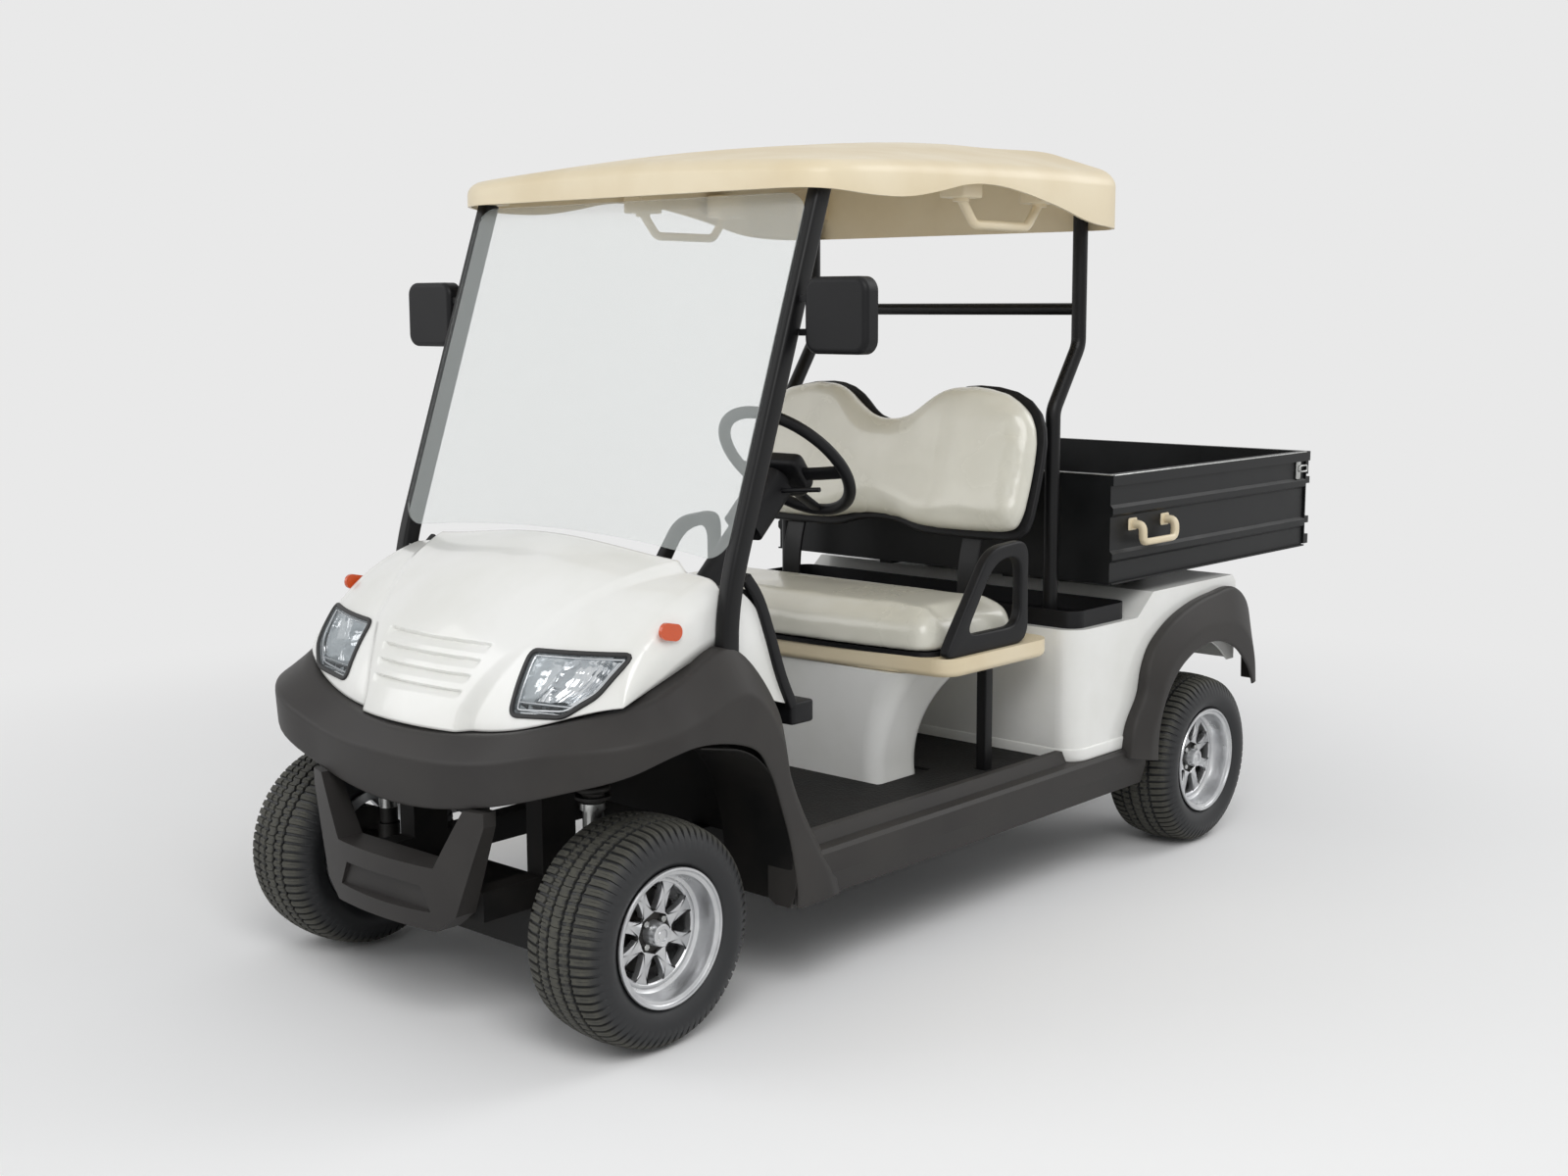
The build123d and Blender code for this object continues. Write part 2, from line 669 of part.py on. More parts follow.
glass_origin = (knee[0] + rake[1] * PILLAR_D / 2, 0, knee[1] - rake[0] * PILLAR_D / 2)
glass_plane = Plane(origin=glass_origin, x_dir=(0, 1, 0), z_dir=(rake[1], 0, -rake[0]))
with BuildPart() as windscreen:
    with BuildSketch(glass_plane):
        with BuildLine():
            Polyline(
                (-GLASS_HALF_W, GLASS_LOW),
                (-GLASS_HALF_W, GLASS_HIGH),
                (GLASS_HALF_W, GLASS_HIGH),
                (GLASS_HALF_W, GLASS_LOW),
            )
            ThreePointArc((GLASS_HALF_W, GLASS_LOW), (0, GLASS_LOW + GLASS_ARCH), (-GLASS_HALF_W, GLASS_LOW))
        make_face()
        fillet(vertices(), GLASS_R)
    extrude(amount=GLASS_T)
save(windscreen.part, "windscreen")

# Dashboard between the cheeks, with two open bins
dash_back_x = FX - COWL_BACK - 1.0
with BuildPart() as dashboard:
    with BuildSketch(side_plane(0)):
        with BuildLine():
            dash_a = (dash_back_x, floor(560.0))
            dash_b = (FX - 345.0, floor(470.0))
            dash_c = (FX - 300.0, floor(DASH_LOW_H))
            ThreePointArc(dash_a, (FX - 300.0, floor(556.0)), dash_b)
            Polyline(dash_b, dash_c, (dash_back_x, floor(DASH_LOW_H)), dash_a)
        make_face()
    extrude(amount=COWL_HALF_W - WALL, both=True)
    with Locations((FX - 300.0, -300.0, floor(475.0)), (FX - 300.0, 20.0, floor(475.0))):
        Box(110, 250, 75, mode=Mode.SUBTRACT)
dash_solid = dashboard.part

# Steering column and wheel, in the frame of the column's slope
COLUMN_R = 30.0
COLUMN_L = 480.0
SHAFT_R = 11.95
SHAFT_BORE_R = 12.0
WHEEL_R = 162.0
GRIP_R = 13.0
HUB_PAD_R = 46.0
HUB_PAD_H = 36.0
wheel_plane = Plane(
    origin=(FX - 670.0, 270.0, floor(790.0)),
    x_dir=(0, 1, 0),
    z_dir=(-0.72, 0, 0.69),
)
with BuildPart(wheel_plane) as steering_wheel:
    Torus(WHEEL_R, GRIP_R)
    with Locations((0, 0, -22.0)):
        Cylinder(HUB_PAD_R, HUB_PAD_H)
        with Locations((WHEEL_R / 2, 0, 8.0), (-WHEEL_R / 2, 0, 8.0)):
            Box(WHEEL_R - 10.0, 34.0, 14.0)
        with Locations((0, WHEEL_R / 2, 8.0)):
            Box(34.0, WHEEL_R - 10.0, 14.0)
    with Locations((0, 0, -22.0 - HUB_PAD_H / 2)):
        Cylinder(SHAFT_BORE_R, 40.0, mode=Mode.SUBTRACT)
save(steering_wheel.part, "steering_wheel")

PEDAL_OUT = 42.0
toe_len = hypot(TOE_RUN, TOE_H)
toe_plane = Plane(
    origin=(floor_front_x - TOE_T, 0, FLOOR_Z),
    x_dir=(0, 1, 0),
    z_dir=(-TOE_H / toe_len, 0, TOE_RUN / toe_len),
)
with BuildPart(wheel_plane) as steering_column:
    with Locations((0, 0, -22.0 - HUB_PAD_H / 2 - 5.0)):
        Cylinder(COLUMN_R, COLUMN_L, align=(Align.CENTER, Align.CENTER, Align.MAX))
    with Locations((0, 0, -22.0 - HUB_PAD_H / 2 - 10.0)):
        Cylinder(SHAFT_R, 28.0, align=(Align.CENTER, Align.CENTER, Align.MIN))
with BuildPart() as driver_controls:
    add(steering_column.part)
    # pedals: stalks that stand on the toe board with broad pads
    for y, pad_w in ((330.0, 90.0), (190.0, 70.0)):
        with BuildPart(toe_plane, mode=Mode.PRIVATE) as pedal:
            with Locations((y, -150.0, 0)):
                Cylinder(9.0, PEDAL_OUT, align=(Align.CENTER, Align.CENTER, Align.MIN))
            with Locations((y, -150.0, PEDAL_OUT)):
                Box(pad_w, 110.0, 12.0, align=(Align.CENTER, Align.CENTER, Align.MIN))
        add(pedal.part)
save(driver_controls.part, "driver_controls")
with BuildPart() as dashboard:
    add(dash_solid)
    with BuildPart(wheel_plane, mode=Mode.PRIVATE) as column_hole:
        Cylinder(COLUMN_R + 0.3, 1200.0)
    add(column_hole.part, mode=Mode.SUBTRACT)
save(dashboard.part, "dashboard")

# Roof: a crowned canopy with skirts. columns: x, half width, edge height, crown height
roof_front_x = FX - ROOF_FRONT
roof_rear_x = RX + ROOF_REAR
roof_mid_x = (roof_front_x + roof_rear_x) / 2
roof_sections = (
    (roof_front_x, ROOF_HALF_W, ROOF_EDGE_H, 1446.0),
    (roof_front_x - 250.0, ROOF_HALF_W, ROOF_EDGE_H + 14.0, 1492.0),
    (roof_mid_x, ROOF_HALF_W, ROOF_EDGE_H + 22.0, 1530.0),
    (roof_rear_x + 180.0, ROOF_HALF_W - 8.0, ROOF_EDGE_H + 24.0, 1555.0),
    (roof_rear_x, ROOF_REAR_HALF_W, ROOF_EDGE_H + 18.0, 1540.0),
)


def roof_solid(inset, low):
    """The crowned solid under the roof's skin, set in by a margin, down to a height."""
    with BuildPart() as core:
        for i, (x, half_w, edge_h, crown_h) in enumerate(roof_sections):
            ends = {0: -inset, len(roof_sections) - 1: inset}
            with BuildSketch(Plane.YZ.offset(x + ends.get(i, 0.0))):
                w = half_w - inset
                with BuildLine():
                    ThreePointArc((-w, floor(edge_h) - inset), (0, floor(crown_h) - inset), (w, floor(edge_h) - inset))
                    Polyline((w, floor(edge_h) - inset), (w, low), (-w, low), (-w, floor(edge_h) - inset))
                make_face()
        loft()
    return core.part


with BuildPart() as roof:
    add(roof_solid(0.0, floor(ROOF_SKIRT_H)))
    add(roof_solid(ROOF_T, floor(ROOF_SKIRT_H) - 20.0), mode=Mode.SUBTRACT)
    # the skirt's lower edge, in side view
    with BuildSketch(side_plane(0)):
        with BuildLine():
            skirt_pts = ((roof_front_x + 30.0, 1382.0), (FX - 560.0, 1368.0), (FX - 800.0, 1380.0))
            Polyline(
                (roof_front_x + 30.0, floor(1200.0)),
                (roof_front_x + 30.0, floor(1382.0)),
                (FX - 560.0, floor(1370.0)),
                (FX - 740.0, floor(1368.0)),
                (FX - 930.0, floor(1408.0)),
                (FX - 1060.0, floor(1408.0)),
                (RX + 560.0, floor(1336.0)),
                (roof_rear_x - 30.0, floor(1330.0)),
                (roof_rear_x - 30.0, floor(1200.0)),
                close=True,
            )
        make_face()
    extrude(amount=700.0, both=True, mode=Mode.SUBTRACT)
roof_skin = roof.part

# Rear pillars and their cross bar
pillar_top_x = RX + 395.0
pillar_foot_x = RX + 505.0
tray_top = floor(DECK_LOW_H) + SHEET
with BuildPart() as rear_pillars:
    for side in (1, -1):
        with BuildLine() as pillar_path:
            FilletPolyline(
                (pillar_foot_x, side * REAR_PILLAR_Y, tray_top),
                (pillar_foot_x, side * REAR_PILLAR_Y, floor(880.0)),
                (pillar_top_x, side * REAR_PILLAR_Y, floor(1042.0)),
                (pillar_top_x, side * REAR_PILLAR_Y, floor(PILLAR_TOP_H)),
                radius=60.0,
            )
        with BuildSketch(Plane(origin=pillar_path.line @ 0, z_dir=pillar_path.line % 0)):
            Circle(TUBE_R)
        sweep(path=pillar_path.line)
    with Locations((pillar_top_x, 0, floor(1134.0))):
        Cylinder(TUBE_R * 0.8, 2 * REAR_PILLAR_Y, rotation=(90, 0, 0))
save(rear_pillars.part, "rear_pillars")

# Roof handles: loops under the roof's sides
HANDLE_R = 11.0
HANDLE_Y = 520.0
handle_xs = (FX - 985.0, FX - 1295.0)
with BuildPart() as roof_handles:
    for side in (1, -1):
        with BuildLine() as handle_path:
            FilletPolyline(
                (handle_xs[0], side * HANDLE_Y, floor(PILLAR_TOP_H)),
                (handle_xs[0] - 50.0, side * HANDLE_Y, floor(1325.0)),
                (handle_xs[1] + 50.0, side * HANDLE_Y, floor(1325.0)),
                (handle_xs[1], side * HANDLE_Y, floor(PILLAR_TOP_H)),
                radius=30.0,
            )
        with BuildSketch(Plane(origin=handle_path.line @ 0, z_dir=handle_path.line % 0)):
            Circle(HANDLE_R)
        sweep(path=handle_path.line)
    with Locations((FX - 1140.0, 0, floor(PILLAR_TOP_H) - 6.0)):
        Box(600, 1600, 100, align=(Align.CENTER, Align.CENTER, Align.MIN), mode=Mode.SUBTRACT)
    for side in (1, -1):
        for x in handle_xs:
            with Locations((x, side * HANDLE_Y, floor(PILLAR_TOP_H) - 8.0)):
                Cylinder(HANDLE_R + 8.0, 8.0, align=(Align.CENTER, Align.CENTER, Align.MIN))
save(roof_handles.part, "roof_handles")

with BuildPart() as roof:
    add(roof_skin)
    pad_spots = [(FX - PILLAR_KNEE - PILLAR_RAKE, PILLAR_Y), (pillar_top_x, REAR_PILLAR_Y)]
    pad_spots += [(x, HANDLE_Y) for x in handle_xs]
    with BuildPart(mode=Mode.PRIVATE) as pads:
        for x, y in pad_spots:
            with Locations((x, y, floor(PILLAR_TOP_H)), (x, -y, floor(PILLAR_TOP_H))):
                Box(PAD_L, PAD_W, 300.0, align=(Align.CENTER, Align.CENTER, Align.MIN))
        add(roof_solid(ROOF_T / 2, floor(ROOF_SKIRT_H) - 20.0), mode=Mode.INTERSECT)
    add(pads.part)
save(roof.part, "roof")

# Mirrors on the front pillars
MIRROR_W = 165.0
MIRROR_H = 155.0
MIRROR_D = 38.0
MIRROR_R = 30.0
mirror_mid_y = PILLAR_Y + PILLAR_W / 2 + 22.0 + MIRROR_W / 2
mirror_x = FX - 405.0
mirror_z = floor(1120.0)
with BuildPart() as mirror_housings:
    with BuildSketch(Plane.YZ.offset(mirror_x - MIRROR_D / 2)):
        with Locations((mirror_mid_y, mirror_z)):
            RectangleRounded(MIRROR_W, MIRROR_H, MIRROR_R)
    extrude(amount=MIRROR_D)
    fillet(mirror_housings.faces().sort_by(Axis.X)[-1].edges(), 12.0)
    for dz in (-34.0, 34.0):
        with Locations((mirror_x, PILLAR_Y + PILLAR_W / 2, mirror_z + dz)):
            Box(16.0, 30.0, 14.0, align=(Align.CENTER, Align.MIN, Align.CENTER))
    mirror(about=Plane.XZ)
save(mirror_housings.part, "mirror_housings")
with BuildPart() as mirror_glass:
    with BuildSketch(Plane.YZ.offset(mirror_x - MIRROR_D / 2 - 3.0)):
        with Locations((mirror_mid_y, mirror_z)):
            RectangleRounded(MIRROR_W - 16.0, MIRROR_H - 16.0, MIRROR_R - 8.0)
    extrude(amount=3.0)
    mirror(about=Plane.XZ)
save(mirror_glass.part, "mirror_glass")


# Seat: trim plate, lifting pan with cushion, back cushion with its shell, frame tubes
def seat_plan(z, front_x, rear_x, half_w, bow, corner):
    """Seat outline from above at a height, with a bowed front edge."""
    with BuildSketch(Plane.XY.offset(z)) as plan:
        with BuildLine():
            ThreePointArc((front_x - bow, -half_w), (front_x, 0), (front_x - bow, half_w))
            Polyline((front_x - bow, half_w), (rear_x, half_w), (rear_x, -half_w), (front_x - bow, -half_w))
        make_face()
        fillet(plan.vertices(), corner)
    return plan.sketch


trim_z = floor(TRIM_H)
pan_z = trim_z + TRIM_T
with BuildPart() as seat_trim:
    extrude(
        seat_plan(trim_z, seat_front_x - 15.0, seat_rear_x - 65.0, TRIM_HALF_W, SEAT_BOW, 60.0),
        amount=TRIM_T,
    )
    fillet(seat_trim.faces().sort_by(Axis.Z)[0].edges(), 16.0)
save(seat_trim.part, "seat_trim")
with BuildPart() as seat_pan:
    extrude(
        seat_plan(pan_z, RX + LID_HINGE, seat_rear_x + 10.0, SEAT_HALF_W - 10.0, SEAT_BOW, 50.0),
        amount=PAN_T,
    )
save(seat_pan.part, "seat_pan")
with BuildPart() as seat_cushion:
    extrude(
        seat_plan(pan_z + PAN_T, seat_front_x, seat_rear_x, SEAT_HALF_W, SEAT_BOW, 60.0),
        amount=CUSHION_T,
    )
    fillet(seat_cushion.faces().sort_by(Axis.Z)[-1].edges(), 34.0)
save(seat_cushion.part, "seat_cushion")

back_len = hypot(1.0, BACK_LEAN)
back_plane = Plane(
    origin=(RX + BACK_X, 0, floor(BACK_H)),
    x_dir=(0, 1, 0),
    z_dir=(1.0 / back_len, 0, BACK_LEAN / back_len),
)


def back_outline(grow):
    """Seat back seen square on: two humps with a dip between them."""
    with BuildSketch(back_plane) as outline:
        with BuildLine():
            dip = (0, 292.0 + grow)
            hump = (250.0, 392.0 + grow)
            shoulder = (BACK_HALF_W + grow, 250.0)
            foot = (BACK_HALF_W + grow, -grow)
            ThreePointArc(dip, (115.0, 340.0 + grow), hump)
            ThreePointArc(hump, (418.0 + grow, 362.0 + grow), shoulder)
            FilletPolyline(shoulder, foot, (0, -grow), radius=50.0)
            mirror(about=Plane.YZ)
        make_face()
    return outline.sketch


with BuildPart() as seat_back_cushion:
    extrude(back_outline(0.0), amount=BACK_T)
save(seat_back_cushion.part, "seat_back_cushion")
with BuildPart() as seat_back_shell:
    extrude(back_outline(7.0), amount=-SHELL_T)
save(seat_back_shell.part, "seat_back_shell")

STRUT_T = 8.0
STRUT_W = 60.0
STRUT_Y = 300.0


def back_point(up, out):
    """Side-view point (x, z) at a distance up the seat back and out from its plane."""
    return (
        RX + BACK_X + (out - BACK_LEAN * up) / back_len,
        floor(BACK_H) + (up + BACK_LEAN * out) / back_len,
    )


with BuildPart() as seat_frame:
    # posts under the trim's ends
    with Locations((post_x, post_y, FLOOR_Z), (post_x, -post_y, FLOOR_Z)):
        Box(POST_W, POST_W, TRIM_H, align=(Align.CENTER, Align.CENTER, Align.MIN))
    # hip loops that stand on the trim's ends
    for side in (1, -1):
        with BuildLine() as loop_path:
            FilletPolyline(
                (RX + 1010.0, side * LOOP_Y, pan_z + LOOP_R + 6.0),
                (RX + 850.0, side * LOOP_Y, floor(560.0)),
                (RX + 738.0, side * LOOP_Y, floor(560.0)),
                (RX + 738.0, side * LOOP_Y, pan_z + LOOP_R + 6.0),
                radius=28.0,
                close=True,
            )
        with BuildSketch(Plane(origin=loop_path.line @ 0, z_dir=loop_path.line % 0)):
            Circle(LOOP_R)
        sweep(path=loop_path.line)
        with Locations((RX + 940.0, side * LOOP_Y, pan_z), (RX + 790.0, side * LOOP_Y, pan_z)):
            Box(24.0, 24.0, LOOP_R + 2.0, align=(Align.CENTER, Align.CENTER, Align.MIN))
    # bent flat bars from the trim's rear edge up the back of the shell
    for side in (1, -1):
        with BuildSketch(side_plane(side * STRUT_Y)):
            with BuildLine():
                bend = back_point(-80.0, -SHELL_T - STRUT_T / 2)
                Polyline((bend[0], pan_z), bend, back_point(120.0, -SHELL_T - STRUT_T / 2))
            trace(line_width=STRUT_T)
        extrude(amount=STRUT_W / 2, both=True)
        with Locations((back_point(-80.0, -SHELL_T)[0], side * STRUT_Y, pan_z)):
            Box(34.0, STRUT_W, 6.0, align=(Align.CENTER, Align.CENTER, Align.MIN))
save(seat_frame.part, "seat_frame")

# Rear body: a moulded cover over the battery, axle and motor, open below
arch_z = AXLE_Z + REAR_ARCH_RISE


def body_core(inset, foot):
    """The rear body's solid, set in by a margin, with rounded front corners."""
    with BuildPart() as core:
        with BuildSketch(side_plane(0)):
            Polygon(
                (RX + BODY_FRONT - inset, foot),
                (RX + BODY_FRONT - inset, floor(DECK_LOW_H) - inset),
                (RX + 290.0, floor(DECK_LOW_H) - inset),
                (RX + 214.0, deck_z - inset),
                (RX - BODY_REAR + 20.0 + inset, deck_z - inset),
                (RX - BODY_REAR + inset, deck_z - 20.0 - inset),
                (RX - BODY_REAR + inset, foot),
                align=None,
            )
        extrude(amount=BODY_HALF_W - inset, both=True)
        fillet(core.faces().sort_by(Axis.X)[-1].edges().filter_by(Axis.Z), BODY_CORNER_R - inset)
    return core.part


with BuildPart() as rear_body:
    add(body_core(0.0, floor(BODY_FOOT_H)))
    add(body_core(BODY_WALL, floor(BODY_FOOT_H) - 20.0), mode=Mode.SUBTRACT)
    with BuildSketch(side_plane(0)):
        with Locations((RX, arch_z)):
            Circle(REAR_ARCH_R)
            Rectangle(2 * REAR_ARCH_R, arch_z, align=(Align.CENTER, Align.MAX))
        with Locations((RX - BODY_REAR, kick_top + 15.0)):
            Rectangle(160.0, kick_top, align=(Align.CENTER, Align.MAX))
    extrude(amount=BODY_HALF_W + 50.0, both=True, mode=Mode.SUBTRACT)
    # clearance round the bed posts
    with Locations((rest_x, RAIL_Y, deck_z), (rest_x, -RAIL_Y, deck_z)):
        Box(CROSS_W + 6.0, CROSS_W + 6.0, 60.0, mode=Mode.SUBTRACT)
save(rear_body.part, "rear_body")

# Black tray on the low front part of the deck
TRAY_RIM = 44.0
with BuildPart() as rear_tray:
    with BuildSketch(Plane.XY.offset(floor(DECK_LOW_H))):
        with Locations((RX + 430.0, 0)):
            RectangleRounded(250.0, 2 * BODY_HALF_W - 40.0, 40.0)
    extrude(amount=TRAY_RIM)
    offset(amount=-SHEET, openings=rear_tray.faces().sort_by(Axis.Z)[-1:])
save(rear_tray.part, "rear_tray")

# Rear flares: shells round the rear arches
with BuildPart() as rear_flares:
    with BuildSketch(side_plane(FLARE_Y)) as flare_outline:
        with BuildLine():
            flare_a = (RX + 350.0, FLOOR_Z)
            flare_b = (RX + 350.0, floor(52.0))
            flare_c = (RX + 268.0, floor(160.0))
            flare_d = (RX + 278.0, floor(205.0))
            flare_e = (RX + 80.0, floor(337.0))
            flare_f = (RX - 200.0, floor(372.0))
            flare_g = (RX - 262.0, floor(330.0))
            flare_h = (RX - 262.0, floor(130.0))
            Polyline(flare_a, flare_b, flare_c, flare_d)
            ThreePointArc(flare_d, (RX + 205.0, floor(280.0)), flare_e)
            ThreePointArc(flare_e, (RX - 60.0, floor(362.0)), flare_f)
            Polyline(flare_f, flare_g, flare_h, (RX, floor(130.0)), (RX, FLOOR_Z), flare_a)
        make_face()
        with Locations((RX, arch_z)):
            Circle(REAR_ARCH_R, mode=Mode.SUBTRACT)
            Rectangle(2 * REAR_ARCH_R, arch_z, align=(Align.CENTER, Align.MAX), mode=Mode.SUBTRACT)
    extrude(amount=FLARE_Y - BODY_HALF_W)
    with BuildSketch(side_plane(FLARE_Y - WALL)):
        add(flare_outline.sketch_local)
        offset(amount=-WALL)
    extrude(amount=FLARE_Y, mode=Mode.SUBTRACT)
    mirror(about=Plane.XZ)
save(rear_flares.part, "rear_flares")

# Battery pack: one plain block on the rails
BATTERY_L = 210.0
BATTERY_HALF_W = 450.0
BATTERY_H = 300.0
with BuildPart() as battery_pack:
    with Locations((RX + BODY_FRONT - 20.0, 0, rail_top)):
        Box(BATTERY_L, 2 * BATTERY_HALF_W, BATTERY_H, align=(Align.MAX, Align.CENTER, Align.MIN))
save(battery_pack.part, "battery_pack")

# Rear axle with differential, motor and leaf springs
pin_start = REAR_TRACK / 2 - 30.0
with BuildPart() as rear_axle:
    with Locations((RX, 0, AXLE_Z)):
        Cylinder(AXLE_TUBE_R, 2 * pin_start - 60.0, rotation=(90, 0, 0))
        Cylinder(AXLE_PIN_R, 2 * (pin_start + AXLE_PIN_L - 6.0), rotation=(90, 0, 0))
        Cylinder(DIFF_R, DIFF_W, rotation=(90, 0, 0))
    with Locations((RX - DIFF_R - MOTOR_R + 50.0, 0, AXLE_Z + 25.0)):
        Cylinder(MOTOR_R, MOTOR_L, rotation=(90, 0, 0))
    leaf_mid_z = AXLE_Z + AXLE_TUBE_R + 17.0
    for side in (1, -1):
        with Locations((RX, side * SPRING_Y, AXLE_Z)):
            Box(90.0, LEAF_W + 10.0, AXLE_TUBE_R + 22.0, align=(Align.CENTER, Align.CENTER, Align.MIN))
        with BuildSketch(side_plane(side * SPRING_Y)):
            with BuildLine():
                ThreePointArc(
                    (RX - LEAF_HALF, leaf_mid_z + LEAF_RISE),
                    (RX, leaf_mid_z),
                    (RX + LEAF_HALF, leaf_mid_z + LEAF_RISE),
                )
                Line((RX + LEAF_HALF, leaf_mid_z + LEAF_RISE), (RX + LEAF_HALF, leaf_mid_z + LEAF_RISE + LEAF_T))
                ThreePointArc(
                    (RX + LEAF_HALF, leaf_mid_z + LEAF_RISE + LEAF_T),
                    (RX, leaf_mid_z + LEAF_T),
                    (RX - LEAF_HALF, leaf_mid_z + LEAF_RISE + LEAF_T),
                )
                Line((RX - LEAF_HALF, leaf_mid_z + LEAF_RISE + LEAF_T), (RX - LEAF_HALF, leaf_mid_z + LEAF_RISE))
            make_face()
        extrude(amount=LEAF_W / 2, both=True)
save(rear_axle.part, "rear_axle")

# Front suspension: lower arms with king pins, struts with coil springs
knuckle_low = AXLE_Z - KNUCKLE_H / 2
arm_in_y = RAIL_Y + RAIL_W / 2
strut_low = king_top + STRUT_GAP
with BuildPart() as front_suspension:
    for side in (1, -1):
        with BuildSketch(Plane.XY.offset(ARM_Z)):
            Polygon(
                (FX - SUBFRAME_L / 2, side * arm_in_y),
                (FX + SUBFRAME_L / 2, side * arm_in_y),
                (FX + KNUCKLE_R, side * (KINGPIN_Y + 10.0)),
                (FX - KNUCKLE_R, side * (KINGPIN_Y + 10.0)),
                align=None,
            )
            with Locations((FX, side * (arm_in_y + 32.0))):
                Circle(16.0, mode=Mode.SUBTRACT)
        extrude(amount=-ARM_T)
        with Locations((FX, side * KINGPIN_Y, ARM_Z - ARM_T)):
            Cylinder(KINGPIN_R, strut_low - ARM_Z + ARM_T + 4.0, align=(Align.CENTER, Align.CENTER, Align.MIN))
            Cylinder(KNUCKLE_R, ARM_T, align=(Align.CENTER, Align.CENTER, Align.MIN))
        with Locations((FX, side * KINGPIN_Y, strut_low)):
            Cylinder(STRUT_R, tower_top - strut_low, align=(Align.CENTER, Align.CENTER, Align.MIN))
        spring_low = AXLE_Z + TYRE_R + 20.0
        pitch = (tower_top - spring_low) / SPRING_COILS
        for i in range(SPRING_COILS):
            with Locations((FX, side * KINGPIN_Y, spring_low + (i + 0.5) * pitch)):
                Torus(SPRING_R - 7.0, 7.0)
        with Locations((FX, side * KINGPIN_Y, spring_low)):
            Cylinder(SPRING_R - 12.0, tower_top - spring_low, align=(Align.CENTER, Align.CENTER, Align.MIN))
        with Locations((FX, side * KINGPIN_Y, spring_low - 6.0)):
            Cylinder(SPRING_R, 6.0, align=(Align.CENTER, Align.CENTER, Align.MIN))
save(front_suspension.part, "front_suspension")

# Knuckles: barrel on the king pin, spindle to the wheel, steering arm to the back
for name, side in (("left", 1), ("right", -1)):
    with BuildPart() as knuckle:
        with Locations((FX, side * KINGPIN_Y, AXLE_Z)):
            Cylinder(KNUCKLE_R, KNUCKLE_H - 2.0)
        spindle_end = FRONT_TRACK / 2 - 30.0 + AXLE_PIN_L - 6.0
        with Locations((FX, side * (KINGPIN_Y + spindle_end) / 2, AXLE_Z)):
            Cylinder(AXLE_PIN_R, spindle_end - KINGPIN_Y, rotation=(90, 0, 0))
        with Locations((FX, side * (KINGPIN_Y + 40.0), AXLE_Z)):
            Cylinder(AXLE_TUBE_R, 60.0, rotation=(90, 0, 0))
        with BuildSketch(Plane.XY.offset(rack_z + ROD_R + ROD_GAP)):
            Polygon(
                (FX, side * (KINGPIN_Y - 18.0)),
                (FX, side * (KINGPIN_Y + 18.0)),
                (FX - STEER_ARM, side * (KINGPIN_Y - STEER_ARM_IN + 13.0)),
                (FX - STEER_ARM, side * (KINGPIN_Y - STEER_ARM_IN - 13.0)),
                align=None,
            )
            with Locations((FX - STEER_ARM, side * (KINGPIN_Y - STEER_ARM_IN))):
                Circle(ROD_END_R)
        extrude(amount=STEER_ARM_T)
        with Locations((FX, side * KINGPIN_Y, AXLE_Z)):
            Cylinder(KINGPIN_R + RUN_FIT, KNUCKLE_H + 10.0, mode=Mode.SUBTRACT)
    save(knuckle.part, f"knuckle_{name}")

# Track rod: slides through the rack housing, with a cup end under each steering arm
rod_half = KINGPIN_Y - STEER_ARM_IN
with BuildPart() as track_rod:
    with Locations((rack_x, 0, rack_z)):
        Cylinder(ROD_R, 2 * rod_half, rotation=(90, 0, 0))
    with Locations((rack_x, rod_half, rack_z + ROD_R), (rack_x, -rod_half, rack_z + ROD_R)):
        Cylinder(ROD_END_R, 2 * ROD_R, align=(Align.CENTER, Align.CENTER, Align.MAX))
save(track_rod.part, "track_rod")

# Wheel: tyre and eight-spoke deep-dish rim, drawn at the origin with the outer face to +Y
with BuildPart() as tyre:
    with BuildSketch(Plane.YZ):
        with BuildLine():
            tread_a = (-TREAD_W / 2, TYRE_SHOULDER_R + 8.0)
            tread_b = (TREAD_W / 2, TYRE_SHOULDER_R + 8.0)
            bead_a = (-RIM_W / 2 + 13.0, BEAD_R)
            bead_b = (RIM_W / 2 - 13.0, BEAD_R)
            wall_a = (-RIM_W / 2 + 10.0, RIM_LIP_R + 2.0)
            wall_b = (RIM_W / 2 - 10.0, RIM_LIP_R + 2.0)
            ThreePointArc(tread_a, (0, TYRE_R), tread_b)
            ThreePointArc(tread_b, (TYRE_W / 2 - 6.0, TYRE_SHOULDER_R - 10.0), (TYRE_W / 2, 180.0))
            ThreePointArc((TYRE_W / 2, 180.0), (TYRE_W / 2 - 6.0, 158.0), wall_b)
            Polyline(wall_b, bead_b, bead_a, wall_a)
            ThreePointArc(wall_a, (-TYRE_W / 2 + 6.0, 158.0), (-TYRE_W / 2, 180.0))
            ThreePointArc((-TYRE_W / 2, 180.0), (-TYRE_W / 2 + 6.0, TYRE_SHOULDER_R - 10.0), tread_a)
        make_face()
    revolve(axis=Axis.Y)

